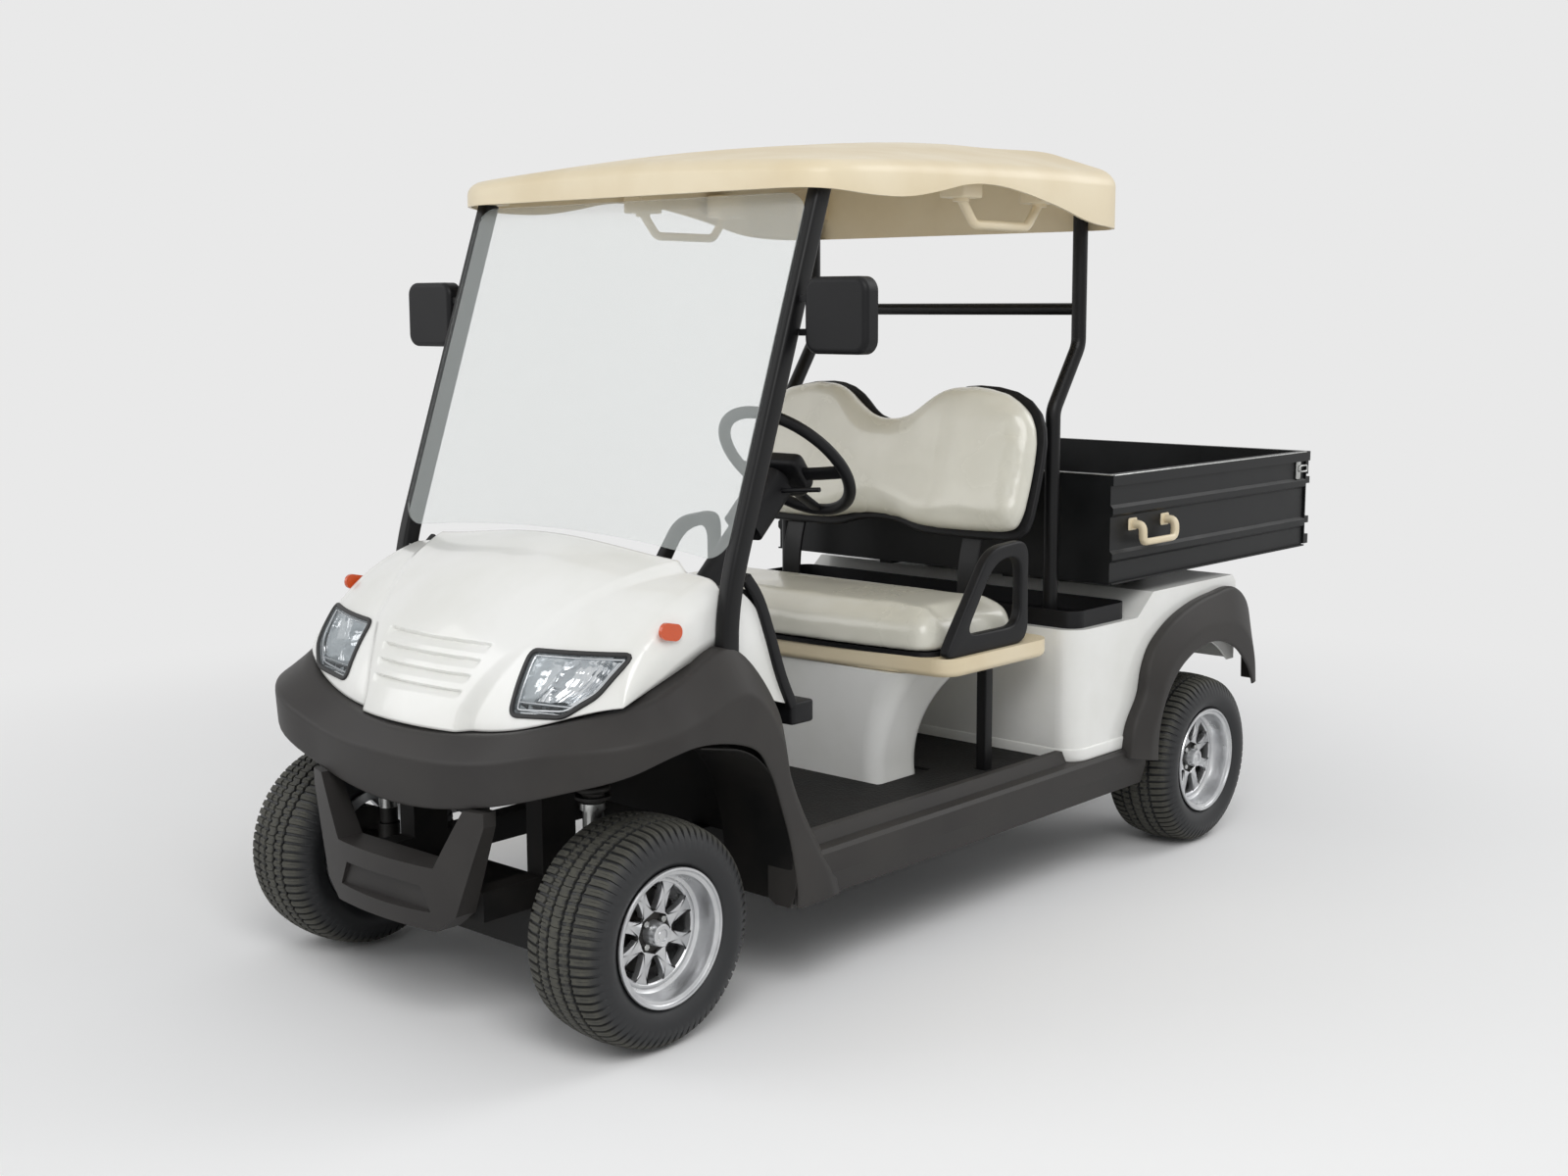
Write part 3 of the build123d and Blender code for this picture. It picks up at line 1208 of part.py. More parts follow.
spoke_face = RIM_W / 2 - RIM_DISH
with BuildPart() as wheel_rim:
    # barrel with two flanges
    with BuildSketch(Plane.YZ):
        Polygon(
            (-RIM_W / 2, BEAD_R - RIM_WALL),
            (-RIM_W / 2, RIM_LIP_R),
            (-RIM_W / 2 + 9.0, RIM_LIP_R),
            (-RIM_W / 2 + 11.0, BEAD_R - 0.3),
            (RIM_W / 2 - 11.0, BEAD_R - 0.3),
            (RIM_W / 2 - 9.0, RIM_LIP_R),
            (RIM_W / 2, RIM_LIP_R),
            (RIM_W / 2, RIM_LIP_R - 6.0),
            (RIM_W / 2 - 8.0, BEAD_R - RIM_WALL),
            (spoke_face - 2.0, BEAD_R - RIM_WALL - 8.0),
            (spoke_face - SPOKE_T - 6.0, BEAD_R - RIM_WALL - 8.0),
            (spoke_face - SPOKE_T - 16.0, BEAD_R - RIM_WALL),
            align=None,
        )
    revolve(axis=Axis.Y)
    # hub with cap
    with Locations((0, spoke_face + 2.0, 0)):
        Cylinder(HUB_R, AXLE_PIN_L + 26.0, rotation=(-90, 0, 0), align=(Align.CENTER, Align.CENTER, Align.MAX))
    with Locations((0, spoke_face + 2.0, 0)):
        Cylinder(CAP_R, 12.0, rotation=(-90, 0, 0), align=(Align.CENTER, Align.CENTER, Align.MIN))
    # spokes
    spoke_len = BEAD_R - RIM_WALL - 4.0
    with BuildSketch(Plane(origin=(0, spoke_face, 0), x_dir=(1, 0, 0), z_dir=(0, 1, 0))):
        with PolarLocations((HUB_R - 8.0 + spoke_len) / 2, SPOKE_COUNT):
            Rectangle(spoke_len - HUB_R + 8.0, SPOKE_W)
    extrude(amount=-SPOKE_T)
    with Locations((0, spoke_face - AXLE_PIN_L - 30.0, 0)):
        Cylinder(
            AXLE_BORE_R,
            AXLE_PIN_L + 10.0,
            rotation=(-90, 0, 0),
            align=(Align.CENTER, Align.CENTER, Align.MIN),
            mode=Mode.SUBTRACT,
        )

# columns: name, x of the axle, y of the wheel's middle
wheels = (
    ("front_left", FX, FRONT_TRACK / 2),
    ("front_right", FX, -FRONT_TRACK / 2),
    ("rear_left", RX, REAR_TRACK / 2),
    ("rear_right", RX, -REAR_TRACK / 2),
)
for name, x, y in wheels:
    for kind, shape in (("tyre", tyre.part), ("rim", wheel_rim.part)):
        facing = shape if y > 0 else mirror(shape, about=Plane.XZ)
        save(Pos(x, y, AXLE_Z) * facing, f"{kind}_{name}")

# Cargo bed: a folded-sheet tub open at the back, with ribs, a rim and hinge lugs
bed_front_x = RX + BED_FRONT
bed_rear_x = RX - BED_REAR
bed_len = bed_front_x - bed_rear_x
bed_mid_x = (bed_front_x + bed_rear_x) / 2
bed_top = bed_z + BED_DEPTH
with BuildPart() as cargo_bed:
    with Locations((bed_mid_x, 0, bed_z)):
        Box(bed_len, 2 * BED_HALF_W, SHEET, align=(Align.CENTER, Align.CENTER, Align.MIN))
    for side in (1, -1):
        with BuildSketch(Plane.YZ.offset(bed_rear_x)):
            # pressed side: two ribs stand out from the sheet
            with BuildLine():
                s = side
                out = BED_HALF_W
                rib_in = out - RIB_OUT
                Polyline(
                    (s * (rib_in - SHEET), bed_z),
                    (s * rib_in, bed_z),
                    (s * rib_in, bed_z + 55.0),
                    (s * out, bed_z + 63.0),
                    (s * out, bed_z + 79.0),
                    (s * rib_in, bed_z + 87.0),
                    (s * rib_in, bed_z + 172.0),
                    (s * out, bed_z + 180.0),
                    (s * out, bed_z + 196.0),
                    (s * rib_in, bed_z + 204.0),
                    (s * rib_in, bed_top - RIM_TUBE),
                    (s * out, bed_top - RIM_TUBE),
                    (s * out, bed_top),
                    (s * (out - RIM_TUBE), bed_top),
                    (s * (out - RIM_TUBE), bed_top - RIM_TUBE),
                    (s * (rib_in - SHEET), bed_top - RIM_TUBE),
                    close=True,
                )
            make_face()
        extrude(amount=bed_len)
    with Locations((bed_front_x, 0, bed_z)):
        Box(SHEET, 2 * BED_HALF_W - 20.0, BED_DEPTH, align=(Align.MAX, Align.CENTER, Align.MIN))
    with Locations((bed_front_x, 0, bed_top)):
        Box(RIM_TUBE, 2 * BED_HALF_W, RIM_TUBE, align=(Align.MAX, Align.CENTER, Align.MAX))
    # runners under the floor, with the tipping lugs
    for side in (1, -1):
        with Locations(((bed_front_x - 60.0 + bed_rear_x + 40.0) / 2, side * RAIL_Y, bed_z)):
            Box(bed_len - 100.0, LUG_W, BED_RAIL_H, align=(Align.CENTER, Align.CENTER, Align.MAX))
        with Locations((hinge_x, side * RAIL_Y, hinge_z)):
            Cylinder(LUG_R, LUG_W, rotation=(90, 0, 0))
    with Locations((bed_mid_x, 0, bed_z + SHEET)):
        Box(bed_len - 20.0, 2 * BED_HALF_W - 2 * RIM_TUBE, BED_DEPTH - 60.0, align=(Align.CENTER, Align.CENTER, Align.MIN), mode=Mode.SUBTRACT)
    with Locations((hinge_x, 0, hinge_z)):
        Cylinder(HINGE_PIN_R + RUN_FIT, 2 * BED_HALF_W, rotation=(90, 0, 0), mode=Mode.SUBTRACT)
save(cargo_bed.part, "cargo_bed")

# Lifting handles on the bed's sides
with BuildPart() as bed_handles:
    for side in (1, -1):
        y_in = side * (BED_HALF_W - RIB_OUT)
        y_out = side * (BED_HALF_W + 26.0)
        with BuildLine() as grip_path:
            FilletPolyline(
                (bed_front_x - 105.0, y_in, bed_z + 142.0),
                (bed_front_x - 105.0, y_out, bed_z + 132.0),
                (bed_front_x - 265.0, y_out, bed_z + 132.0),
                (bed_front_x - 265.0, y_in, bed_z + 142.0),
                radius=16.0,
            )
        with BuildSketch(Plane(origin=grip_path.line @ 0, z_dir=grip_path.line % 0)):
            Circle(7.0)
        sweep(path=grip_path.line)
    with Locations((bed_mid_x, 0, bed_z)):
        Box(bed_len, 2 * (BED_HALF_W - RIB_OUT), 600.0, mode=Mode.SUBTRACT)
save(bed_handles.part, "bed_handles")

# Tailgate: ribbed panel hinged along its foot
gate_x = bed_rear_x - GATE_T
gate_low = bed_z + GATE_GAP
gate_half = BED_HALF_W - 2.0
with BuildPart() as tailgate:
    with Locations((bed_rear_x - 0.5, 0, gate_low)):
        Box(SHEET, 2 * gate_half, BED_DEPTH - GATE_GAP, align=(Align.MAX, Align.CENTER, Align.MIN))
    for h in (0.0, 62.0, 180.0, BED_DEPTH - GATE_GAP - RIM_TUBE):
        with Locations((bed_rear_x - 0.5, 0, gate_low + h)):
            Box(GATE_T, 2 * gate_half, 20.0 if 0 < h < 200 else RIM_TUBE, align=(Align.MAX, Align.CENTER, Align.MIN))
    # latches at the top corners
    for side in (1, -1):
        with Locations((bed_rear_x - GATE_T - 0.5, side * (gate_half - 30.0), bed_top - 70.0)):
            Box(REAR_OVERHANG - BED_REAR - GATE_T - 0.5, 34.0, 60.0, align=(Align.MAX, Align.CENTER, Align.MIN))
save(tailgate.part, "tailgate")

# Side markers on the cowl and lamps on the rear wall
with BuildPart() as signal_lamps:
    with BuildSketch(side_plane(COWL_HALF_W + 8.0)):
        with Locations((FX - 55.0, floor(508.0))):
            SlotOverall(58.0, 34.0, rotation=12.0)
    extrude(amount=8.0)
    with BuildSketch(Plane.YZ.offset(RX - BODY_REAR - 16.0)):
        with Locations((470.0, floor(270.0))):
            RectangleRounded(130.0, 80.0, 18.0)
    extrude(amount=16.0)
    mirror(about=Plane.XZ)
save(signal_lamps.part, "signal_lamps")
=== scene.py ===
import bmesh
import bpy
import numpy as np
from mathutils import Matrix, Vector
from mathutils.bvhtree import BVHTree


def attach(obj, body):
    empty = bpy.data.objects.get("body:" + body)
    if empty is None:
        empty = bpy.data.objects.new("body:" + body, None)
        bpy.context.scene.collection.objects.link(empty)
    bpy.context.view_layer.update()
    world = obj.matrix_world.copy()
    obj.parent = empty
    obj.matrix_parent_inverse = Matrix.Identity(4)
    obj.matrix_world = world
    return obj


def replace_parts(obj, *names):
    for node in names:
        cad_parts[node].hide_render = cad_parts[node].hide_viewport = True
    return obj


# The looks of an electric utility vehicle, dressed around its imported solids.
# Metres. +X points forward, +Y to the vehicle's left, +Z up.

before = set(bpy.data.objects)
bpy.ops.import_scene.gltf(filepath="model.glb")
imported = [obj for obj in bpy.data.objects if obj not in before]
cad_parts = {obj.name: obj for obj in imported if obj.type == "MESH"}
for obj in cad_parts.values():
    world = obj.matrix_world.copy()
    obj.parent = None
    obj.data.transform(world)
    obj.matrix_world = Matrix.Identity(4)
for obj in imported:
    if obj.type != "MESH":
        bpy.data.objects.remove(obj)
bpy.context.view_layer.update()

MM = 0.001
FRONT_X, REAR_X = 1.2, -0.78  # the axles
AXLE_Z = 0.23
FLOOR_Z = 0.318  # top of the floor pan
# Points from which the tables of the nose and of the rear flares count
FRONT_DATUM, REAR_DATUM = np.array([FRONT_X, 0, FLOOR_Z]), np.array([REAR_X, 0, FLOOR_Z])
MIRROR = np.array([1, -1, 1])  # to the vehicle's other side


# Tools for materials


def linear(code):
    """sRGB hex code to linear RGBA."""
    s = np.array([int(code[i:i + 2], 16) for i in (1, 3, 5)]) / 255
    c = np.where(s <= 0.04045, s / 12.92, ((s + 0.055) / 1.055) ** 2.4)
    return (*c.tolist(), 1.0)


def node(tree, kind, inputs=(), **properties):
    """Adds a shader node, sets its properties and its inputs; an input that is a socket is linked."""
    made = tree.nodes.new("ShaderNode" + kind)
    for key, value in properties.items():
        setattr(made, key, value)
    for key, value in dict(inputs).items():
        if isinstance(value, bpy.types.NodeSocket):
            tree.links.new(value, made.inputs[key])
        else:
            made.inputs[key].default_value = value
    return made


def blank(name, sockets=()):
    """A new material with its tree, its shader and the Object coordinates."""
    made = bpy.data.materials.new(name)
    made.use_nodes = True
    tree = made.node_tree
    shader = tree.nodes["Principled BSDF"]
    for key, value in dict(sockets).items():
        shader.inputs[key].default_value = value
    return made, tree, shader, node(tree, "TexCoord").outputs["Object"]


def feed(tree, shader, sockets):
    """Links outputs to the shader's sockets of those names."""
    for name, output in sockets.items():
        tree.links.new(output, shader.inputs[name])


def moulded(name, colour, drift, roughness, grain_mm, bump_mm, patch_mm=220.0, grain="noise", sockets=()):
    """A moulded or painted skin: its colour and gloss drift in patches, and a fine grain stands as bump."""
    made, tree, shader, place = blank(name, sockets)
    patches = node(tree, "TexNoise",
                   {"Vector": place, "Scale": 1 / (patch_mm * MM), "Detail": 5.0})
    spread = node(tree, "MapRange", {0: patches.outputs[0], 1: 0.36, 2: 0.64})
    tone = node(tree, "Mix", {0: spread.outputs[0], 6: linear(colour), 7: linear(drift)},
                data_type="RGBA")
    gloss = node(tree, "MapRange",
                 {0: spread.outputs[0], 3: roughness - 0.03, 4: roughness + 0.05})
    lattice = {"Vector": place, "Scale": 1 / (grain_mm * MM)}
    if grain == "cells":
        height = node(tree, "TexVoronoi", lattice).outputs["Distance"]
    else:
        height = node(tree, "TexNoise", {**lattice, "Detail": 2.0}).outputs[0]
    relief = node(tree, "Bump", {"Height": height, "Distance": bump_mm * MM, "Strength": 1.0})
    feed(tree, shader, {"Base Color": tone.outputs[2], "Roughness": gloss.outputs[0],
                        "Normal": relief.outputs[0]})
    return made


def clear(name, tint, alpha, edge_alpha, roughness):
    """A clear sheet: see-through square on, and brighter where it is seen along its surface."""
    sockets = {"Base Color": linear(tint), "Roughness": roughness, "IOR": 1.49}
    made, tree, shader, place = blank(name, sockets)
    haze = node(tree, "TexNoise", {"Vector": place, "Scale": 1 / (90 * MM), "Detail": 3.0})
    facing = node(tree, "LayerWeight", {"Blend": 0.35})
    veil = node(tree, "MapRange",
                {0: haze.outputs[0], 1: 0.3, 2: 0.7, 3: alpha * 0.8, 4: alpha * 1.2})
    cover = node(tree, "Mix", {0: facing.outputs["Fresnel"], 2: veil.outputs[0], 3: edge_alpha})
    feed(tree, shader, {"Alpha": cover.outputs[0]})
    return made


# Finishes. Grains that are too fine to show at this size are drawn at about 1 mm.

# Dark mouldings and paints throw back less light than a bare gloss does, because their grain traps it.
DULL = {"Specular IOR Level": 0.25}
METAL = {"Metallic": 1.0}

# Thermoformed ABS with a gloss top coat: a clean white with a faint orange peel of about 4 mm.
white_abs = moulded("white_gloss_abs", "#F1F1EE", "#E9E9E4", 0.22, 4.0, 0.02,
                    sockets={"Coat Weight": 0.5, "Coat Roughness": 0.06})
# Polypropylene moulded in a grained tool: matte dark grey, cells of about 1.6 mm.
grey_pp = moulded("grey_grained_polypropylene", "#302E2D", "#393735", 0.50, 1.6, 0.10, 260.0, "cells", DULL)
# Cream ABS of the roof and trims: satin, with a faint orange peel of about 5 mm.
cream_abs = moulded("cream_satin_abs", "#E6D8BA", "#DFCFAE", 0.40, 5.0, 0.025)
# Black powder coat on steel tube: orange peel of about 1.6 mm.
powder_coat = moulded("black_powder_coat", "#0D0D0E", "#141415", 0.38, 1.6, 0.03, sockets=DULL)
# Chassis paint: dull black with road dust.
chassis_paint = moulded("dusty_chassis_paint", "#101010", "#201E1C", 0.62, 2.5, 0.06, 120.0, sockets=DULL)
# Black ABS with a moulded leather grain of about 1.4 mm.
black_abs = moulded("black_grained_abs", "#0F0F11", "#161618", 0.48, 1.4, 0.08, 200.0, "cells", DULL)
# Expanded vinyl over foam: off-white, a fine grain of about 1.3 mm and a soft shine.
vinyl = moulded("off_white_vinyl", "#DEDCD0", "#D6D4C7", 0.24, 1.3, 0.03, 160.0, "cells",
                {"Coat Weight": 0.25})
# Studded rubber mat: pebbles of about 7 mm.
mat_rubber = moulded("pebbled_rubber_mat", "#101010", "#1B1A19", 0.72, 7.0, 1.2, 90.0, "cells", DULL)
# Powder-coated sheet steel of the bed, dulled by use.
bed_paint = moulded("worn_bed_powder_coat", "#0E0F10", "#191A1B", 0.44, 1.8, 0.04, 140.0, sockets=DULL)
# Cast aluminium with silver lacquer.
alloy = moulded("silver_lacquered_alloy", "#D3D4D5", "#C2C3C5", 0.30, 0.9, 0.02, 60.0,
                sockets={"Metallic": 0.85})
# Zinc-plated steel of nuts, latches and strut sleeves.
zinc = moulded("zinc_plated_steel", "#BFC0BE", "#A5A6A4", 0.30, 1.0, 0.02, 25.0, sockets=METAL)
# Cast iron and forged steel of the running gear.
iron = moulded("dark_cast_iron", "#2B2A29", "#3A3835", 0.55, 1.5, 0.12, 60.0, sockets={"Metallic": 0.5})
# Vacuum-metallised reflector.
chrome = moulded("metallised_reflector", "#E6E8EA", "#D9DCDF", 0.07, 12.0, 0.02, 30.0, sockets=METAL)
# Back-silvered mirror glass.
mirror_glass = moulded("silvered_mirror", "#E9EDEF", "#E2E7EA", 0.03, 30.0, 0.002, 90.0, sockets=METAL)
# Clear acrylic windscreen and polycarbonate lamp lens.
acrylic = clear("clear_acrylic", "#E2E8E6", 0.008, 0.35, 0.03)
lens_clear = clear("clear_polycarbonate", "#C6CED2", 0.03, 0.6, 0.03)
# Synthetic rubber of edgings and gaskets.
gasket = moulded("black_gasket_rubber", "#1B1B1C", "#242424", 0.55, 1.0, 0.03)


def tyre_finish():
    """Tyre rubber: dark, with olive-grey road dust where the piece's own dust value is high, broken up by
    noise of about 14 mm."""
    made, tree, shader, place = blank("dusty_tyre_rubber")
    dust = node(tree, "Attribute", attribute_name="dust")
    speckle = node(tree, "TexNoise", {"Vector": place, "Scale": 1 / (14 * MM), "Detail": 6.0})
    patch = node(tree, "MapRange", {0: speckle.outputs[0], 1: 0.3, 2: 0.7, 3: 0.45, 4: 1.0})
    share = node(tree, "Math", {0: dust.outputs["Fac"], 1: patch.outputs[0]},
                 operation="MULTIPLY")
    tone = node(tree, "Mix", {0: share.outputs[0], 6: linear("#1D1E20"), 7: linear("#4D4C44")},
                data_type="RGBA")
    gloss = node(tree, "MapRange", {0: share.outputs[0], 3: 0.52, 4: 0.85})
    relief = node(tree, "Bump",
                  {"Height": speckle.outputs[0], "Distance": 0.15 * MM, "Strength": 1.0})
    feed(tree, shader, {"Base Color": tone.outputs[2], "Roughness": gloss.outputs[0],
                        "Normal": relief.outputs[0]})
    return made


def lamp_finish():
    """Moulded acrylic with prisms of about 3 mm: amber on the side markers ahead of the frame's origin, red
    on the tail lamps behind it."""
    made, tree, shader, place = blank("amber_and_red_acrylic", {"Roughness": 0.12, "Coat Weight": 0.6})
    ahead = node(tree, "SeparateXYZ", {0: place}).outputs[0]
    share = node(tree, "Math", {0: ahead, 1: 0.0}, operation="GREATER_THAN")
    tone = node(tree, "Mix", {0: share.outputs[0], 6: linear("#8E100D"), 7: linear("#CF4C08")},
                data_type="RGBA")
    prisms = node(tree, "TexVoronoi", {"Vector": place, "Scale": 1 / (3 * MM)})
    relief = node(tree, "Bump", {"Height": prisms.outputs["Distance"], "Distance": 0.25 * MM})
    feed(tree, shader, {"Base Color": tone.outputs[2], "Normal": relief.outputs[0]})
    return made


tyre_rubber = tyre_finish()
lamp_acrylic = lamp_finish()

NODE_FINISH = {
    white_abs: "front_cowl rear_body seat_pedestal",
    grey_pp: "front_fender bumper_guard side_sills rear_flares",
    cream_abs: "roof roof_handles seat_trim bed_handles",
    powder_coat: "front_pillars rear_pillars seat_frame",
    chassis_paint: "chassis_frame rear_axle floor_pan",
    black_abs: "dashboard driver_controls steering_wheel mirror_housings seat_back_shell rear_tray "
               "battery_pack seat_pan",
    vinyl: "seat_cushion seat_back_cushion",
    mat_rubber: "floor_mat",
    bed_paint: "cargo_bed tailgate",
    gasket: "tyre_front_left tyre_front_right tyre_rear_left tyre_rear_right",
    alloy: "rim_front_left rim_front_right rim_rear_left rim_rear_right",
    acrylic: "windscreen",
    lens_clear: "headlamp_lenses",
    mirror_glass: "mirror_glass",
    chrome: "headlamp_housings",
    lamp_acrylic: "signal_lamps",
    iron: "front_suspension knuckle_left knuckle_right track_rod",
}
for finish, names in NODE_FINISH.items():
    for name in names.split():
        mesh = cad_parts[name].data
        mesh.materials.clear()
        mesh.materials.append(finish)


# Shapes: each piece is one or more grids of points, worked out from a formula


def joined(name, grids, layers=()):
    """A mesh from grids (points[u, v, 3], closed along u, closed along v), joined where their points meet,
    with its faces turned outwards. Layers are values per point, as (name, values in the points' order)."""
    points, faces, count = [], [], 0
    for grid, wrap_u, wrap_v in grids:
        index = np.arange(grid.shape[0] * grid.shape[1]).reshape(grid.shape[:2]) + count
        count += index.size
        index = np.vstack([index, index[:1]]) if wrap_u else index
        index = np.hstack([index, index[:, :1]]) if wrap_v else index
        corners = [index[:-1, :-1], index[1:, :-1], index[1:, 1:], index[:-1, 1:]]
        faces.append(np.stack(corners, -1).reshape(-1, 4))
        points.append(grid.reshape(-1, 3))
    mesh = bpy.data.meshes.new(name)
    mesh.from_pydata(np.concatenate(points), [], np.concatenate(faces))
    for layer, values in layers:
        mesh.attributes.new(layer, "FLOAT", "POINT").data.foreach_set("value", values.astype(np.float32))
    work = bmesh.new()
    work.from_mesh(mesh)
    bmesh.ops.remove_doubles(work, verts=work.verts, dist=1e-6)
    bmesh.ops.recalc_face_normals(work, faces=work.faces)
    work.to_mesh(mesh)
    work.free()
    return mesh


def surface(name, grids, finish, body="chassis", sharp=32.0, layers=()):
    """One piece of the vehicle from grids; edges sharper than an angle in degrees stay sharp."""
    mesh = joined(name, grids, layers)
    mesh.shade_smooth()
    mesh.set_sharp_from_angle(angle=np.radians(sharp))
    mesh.materials.append(finish)
    piece = bpy.data.objects.new(name, mesh)
    bpy.context.scene.collection.objects.link(piece)
    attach(piece, body)
    return piece


def turned(profile, steps, place, side):
    """A profile of (y, r) turned once round an axle through place; y counts towards side."""
    y, r = np.asarray(profile, float).T
    turn = np.linspace(0, 2 * np.pi, steps, endpoint=False)[:, None]
    grid = np.stack([r * np.cos(turn), side * y + 0 * turn, r * np.sin(turn)], -1)
    return grid + np.array(place), True, False


def rounded(corners, cut, steps=6, closed=True):
    """A polyline whose corners are drawn as parabolas that start a distance cut before each of them."""
    p = np.asarray(corners, float)
    before, after = np.roll(p, 1, 0) - p, np.roll(p, -1, 0) - p
    length = [np.maximum(np.linalg.norm(v, axis=1, keepdims=True), 1e-9) for v in (before, after)]
    start, end = [p + v / n * np.minimum(cut, 0.48 * n) for v, n in zip((before, after), length)]
    t = np.linspace(0, 1, steps)[:, None, None]
    curve = ((1 - t) ** 2 * start + 2 * t * (1 - t) * p + t ** 2 * end).transpose(1, 0, 2)
    if closed:
        return curve.reshape(-1, p.shape[1])
    return np.vstack([p[:1], curve[1:-1].reshape(-1, p.shape[1]), p[-1:]])


def inset(outline, amount):
    """A closed plane outline, drawn in by an amount along its own normals."""
    along = np.roll(outline, -1, 0) - np.roll(outline, 1, 0)
    normal = np.stack([along[:, 1], -along[:, 0]], 1) / np.linalg.norm(along, axis=1, keepdims=True)
    x, y = outline.T
    turns_left = np.sum(x * np.roll(y, -1) - y * np.roll(x, -1)) > 0
    return outline - normal * amount * (1 if turns_left else -1)


def plate(outline, low, high, bevel, origin, across, upward):
    """A slab with rounded edges: a closed outline in the plane (across, upward), from low to high along its
    normal. Quarter circles of radius bevel lead from the rim to both faces, which close at their middles."""
    outline = np.asarray(outline, float)
    across, upward = np.array(across, float), np.array(upward, float)
    out = np.cross(across, upward)
    bend = np.linspace(0, np.pi / 2, 4)
    rows = [(bevel * (1 - np.sin(a)), low + bevel * (1 - np.cos(a))) for a in bend]
    rows += [(bevel * (1 - np.sin(a)), high - bevel * (1 - np.cos(a))) for a in bend[::-1]]
    flat = [(np.repeat(outline.mean(0)[None], len(outline), 0), low)]
    flat += [(inset(outline, inward), level) for inward, level in rows]
    flat += [(flat[0][0], high)]
    places = [np.array(origin) + p[:, :1] * across + p[:, 1:] * upward + level * out for p, level in flat]
    return np.stack(places, 1), True, False


def sweep(path, section, up=(0, 0, 1), closed=False):
    """A section of (aside, up) carried along a path; open ends close at their middles."""
    path, section = np.asarray(path, float), np.asarray(section, float)
    ahead = np.roll(path, -1, 0) - np.roll(path, 1, 0)
    if not closed:
        ahead[0], ahead[-1] = path[1] - path[0], path[-1] - path[-2]
    ahead /= np.linalg.norm(ahead, axis=1, keepdims=True)
    aside = np.cross(ahead, np.array(up, float))
    aside /= np.linalg.norm(aside, axis=1, keepdims=True)
    top = np.cross(aside, ahead)
    grid = path[:, None] + aside[:, None] * section[None, :, :1] + top[:, None] * section[None, :, 1:]
    if not closed:
        ends = [np.repeat(g.mean(0)[None, None], len(section), 1) for g in (grid[0], grid[-1])]
        grid = np.concatenate([ends[0], grid, ends[1]])
    return grid, closed, True


def oval(width, height, steps=16, power=2.0):
    """A closed section: an ellipse at power 2, nearer a rounded rectangle above it."""
    a = np.linspace(0, 2 * np.pi, steps, endpoint=False)
    circle = np.stack([np.cos(a), np.sin(a)], 1)
    return np.sign(circle) * np.abs(circle) ** (2 / power) * np.array([width, height]) / 2


def oblong(half_long, half_wide, cut, steps):
    """A rectangle about zero with rounded corners."""
    a, b = half_long, half_wide
    return rounded([(-a, -b), (a, -b), (a, b), (-a, b)], cut, steps)


def upright(flat, y):
    """Points (x, z) of a drawing seen from the side, set at a distance y from the vehicle's middle."""
    flat = np.asarray(flat, float)
    return np.column_stack([flat[:, 0], np.full(len(flat), y), flat[:, 1]])


def u_line(rear, front, half, height, cut, steps):
    """An open U on the level, from the rear round the front and back, with its two corners rounded."""
    corners = [(rear, half), (front, half), (front, -half), (rear, -half)]
    return rounded([(x, y, height) for x, y in corners], cut, steps, False)


def both(*grids):
    """Grids, each with its mirror image across the vehicle."""
    return [(points, wrap_u, wrap_v) for grid, wrap_u, wrap_v in grids for points in (grid, grid * MIRROR)]


# Wheels

# Middle of each wheel as x and y, and the side it faces
WHEELS = {
    "front_left": (FRONT_X, 0.477, 1), "front_right": (FRONT_X, -0.477, -1),
    "rear_left": (REAR_X, 0.539, 1), "rear_right": (REAR_X, -0.539, -1),
}
# Half of the tyre's section from the crown to the bead. Columns: y, r, depth of the grooves that run round,
# depth of the cuts across the blocks, depth of the fine sipes; millimetres.
TYRE_HALF = np.array([
    (0, 230.0, 0, 0, 2.2), (6, 230.0, 0, 0, 2.2), (11.8, 229.8, 0, 2, 2.2), (13.2, 229.8, 6.5, 6.5, 6.5),
    (18.8, 229.5, 6.5, 6.5, 6.5), (20.2, 229.4, 0, 3, 0), (26, 229.0, 0, 3, 0), (34, 228.4, 0, 0.5, 2),
    (40, 227.7, 0, 3, 2), (41.4, 227.5, 6.5, 6.5, 6.5), (47, 226.8, 6.5, 6.5, 6.5), (48.4, 226.6, 0, 5, 0),
    (56, 225.4, 0, 5, 0), (66, 223.8, 0, 5, 1), (75, 221.6, 0, 5, 1), (81, 219.2, 0, 5, 1),
    (86.6, 214.8, 0, 4.5, 0), (91.2, 208.5, 0, 3.5, 0), (95.2, 201.5, 0, 2.0, 0), (98.6, 194.0, 0, 0.8, 0),
    (101.2, 186.0, 0, 0, 0), (102.3, 177.5, 0, 0, 0), (101.4, 168.5, 0, 0, 0), (98.0, 159.0, 0, 0, 0),
    (93.0, 151.0, 0, 0, 0), (88.5, 145.5, 0, 0, 0), (85.0, 142.2, 0, 0, 0), (80.5, 134.0, 0, 0, 0),
    (77.0, 127.5, 0, 0, 0),
])
PITCHES = 72  # blocks round the tyre
ZIGZAG = 2.4 * MM  # of the grooves that run round
SLANT = 0.35  # of the cuts across, in pitches at the shoulder
# Places within one pitch, and how much of the cross cut and of the sipe is open there.
PITCH = np.array([
    (0.00, 0, 1), (0.05, 0, 0), (0.29, 0, 0), (0.35, 1, 0), (0.60, 1, 0), (0.66, 0, 0), (0.95, 0, 0),
])


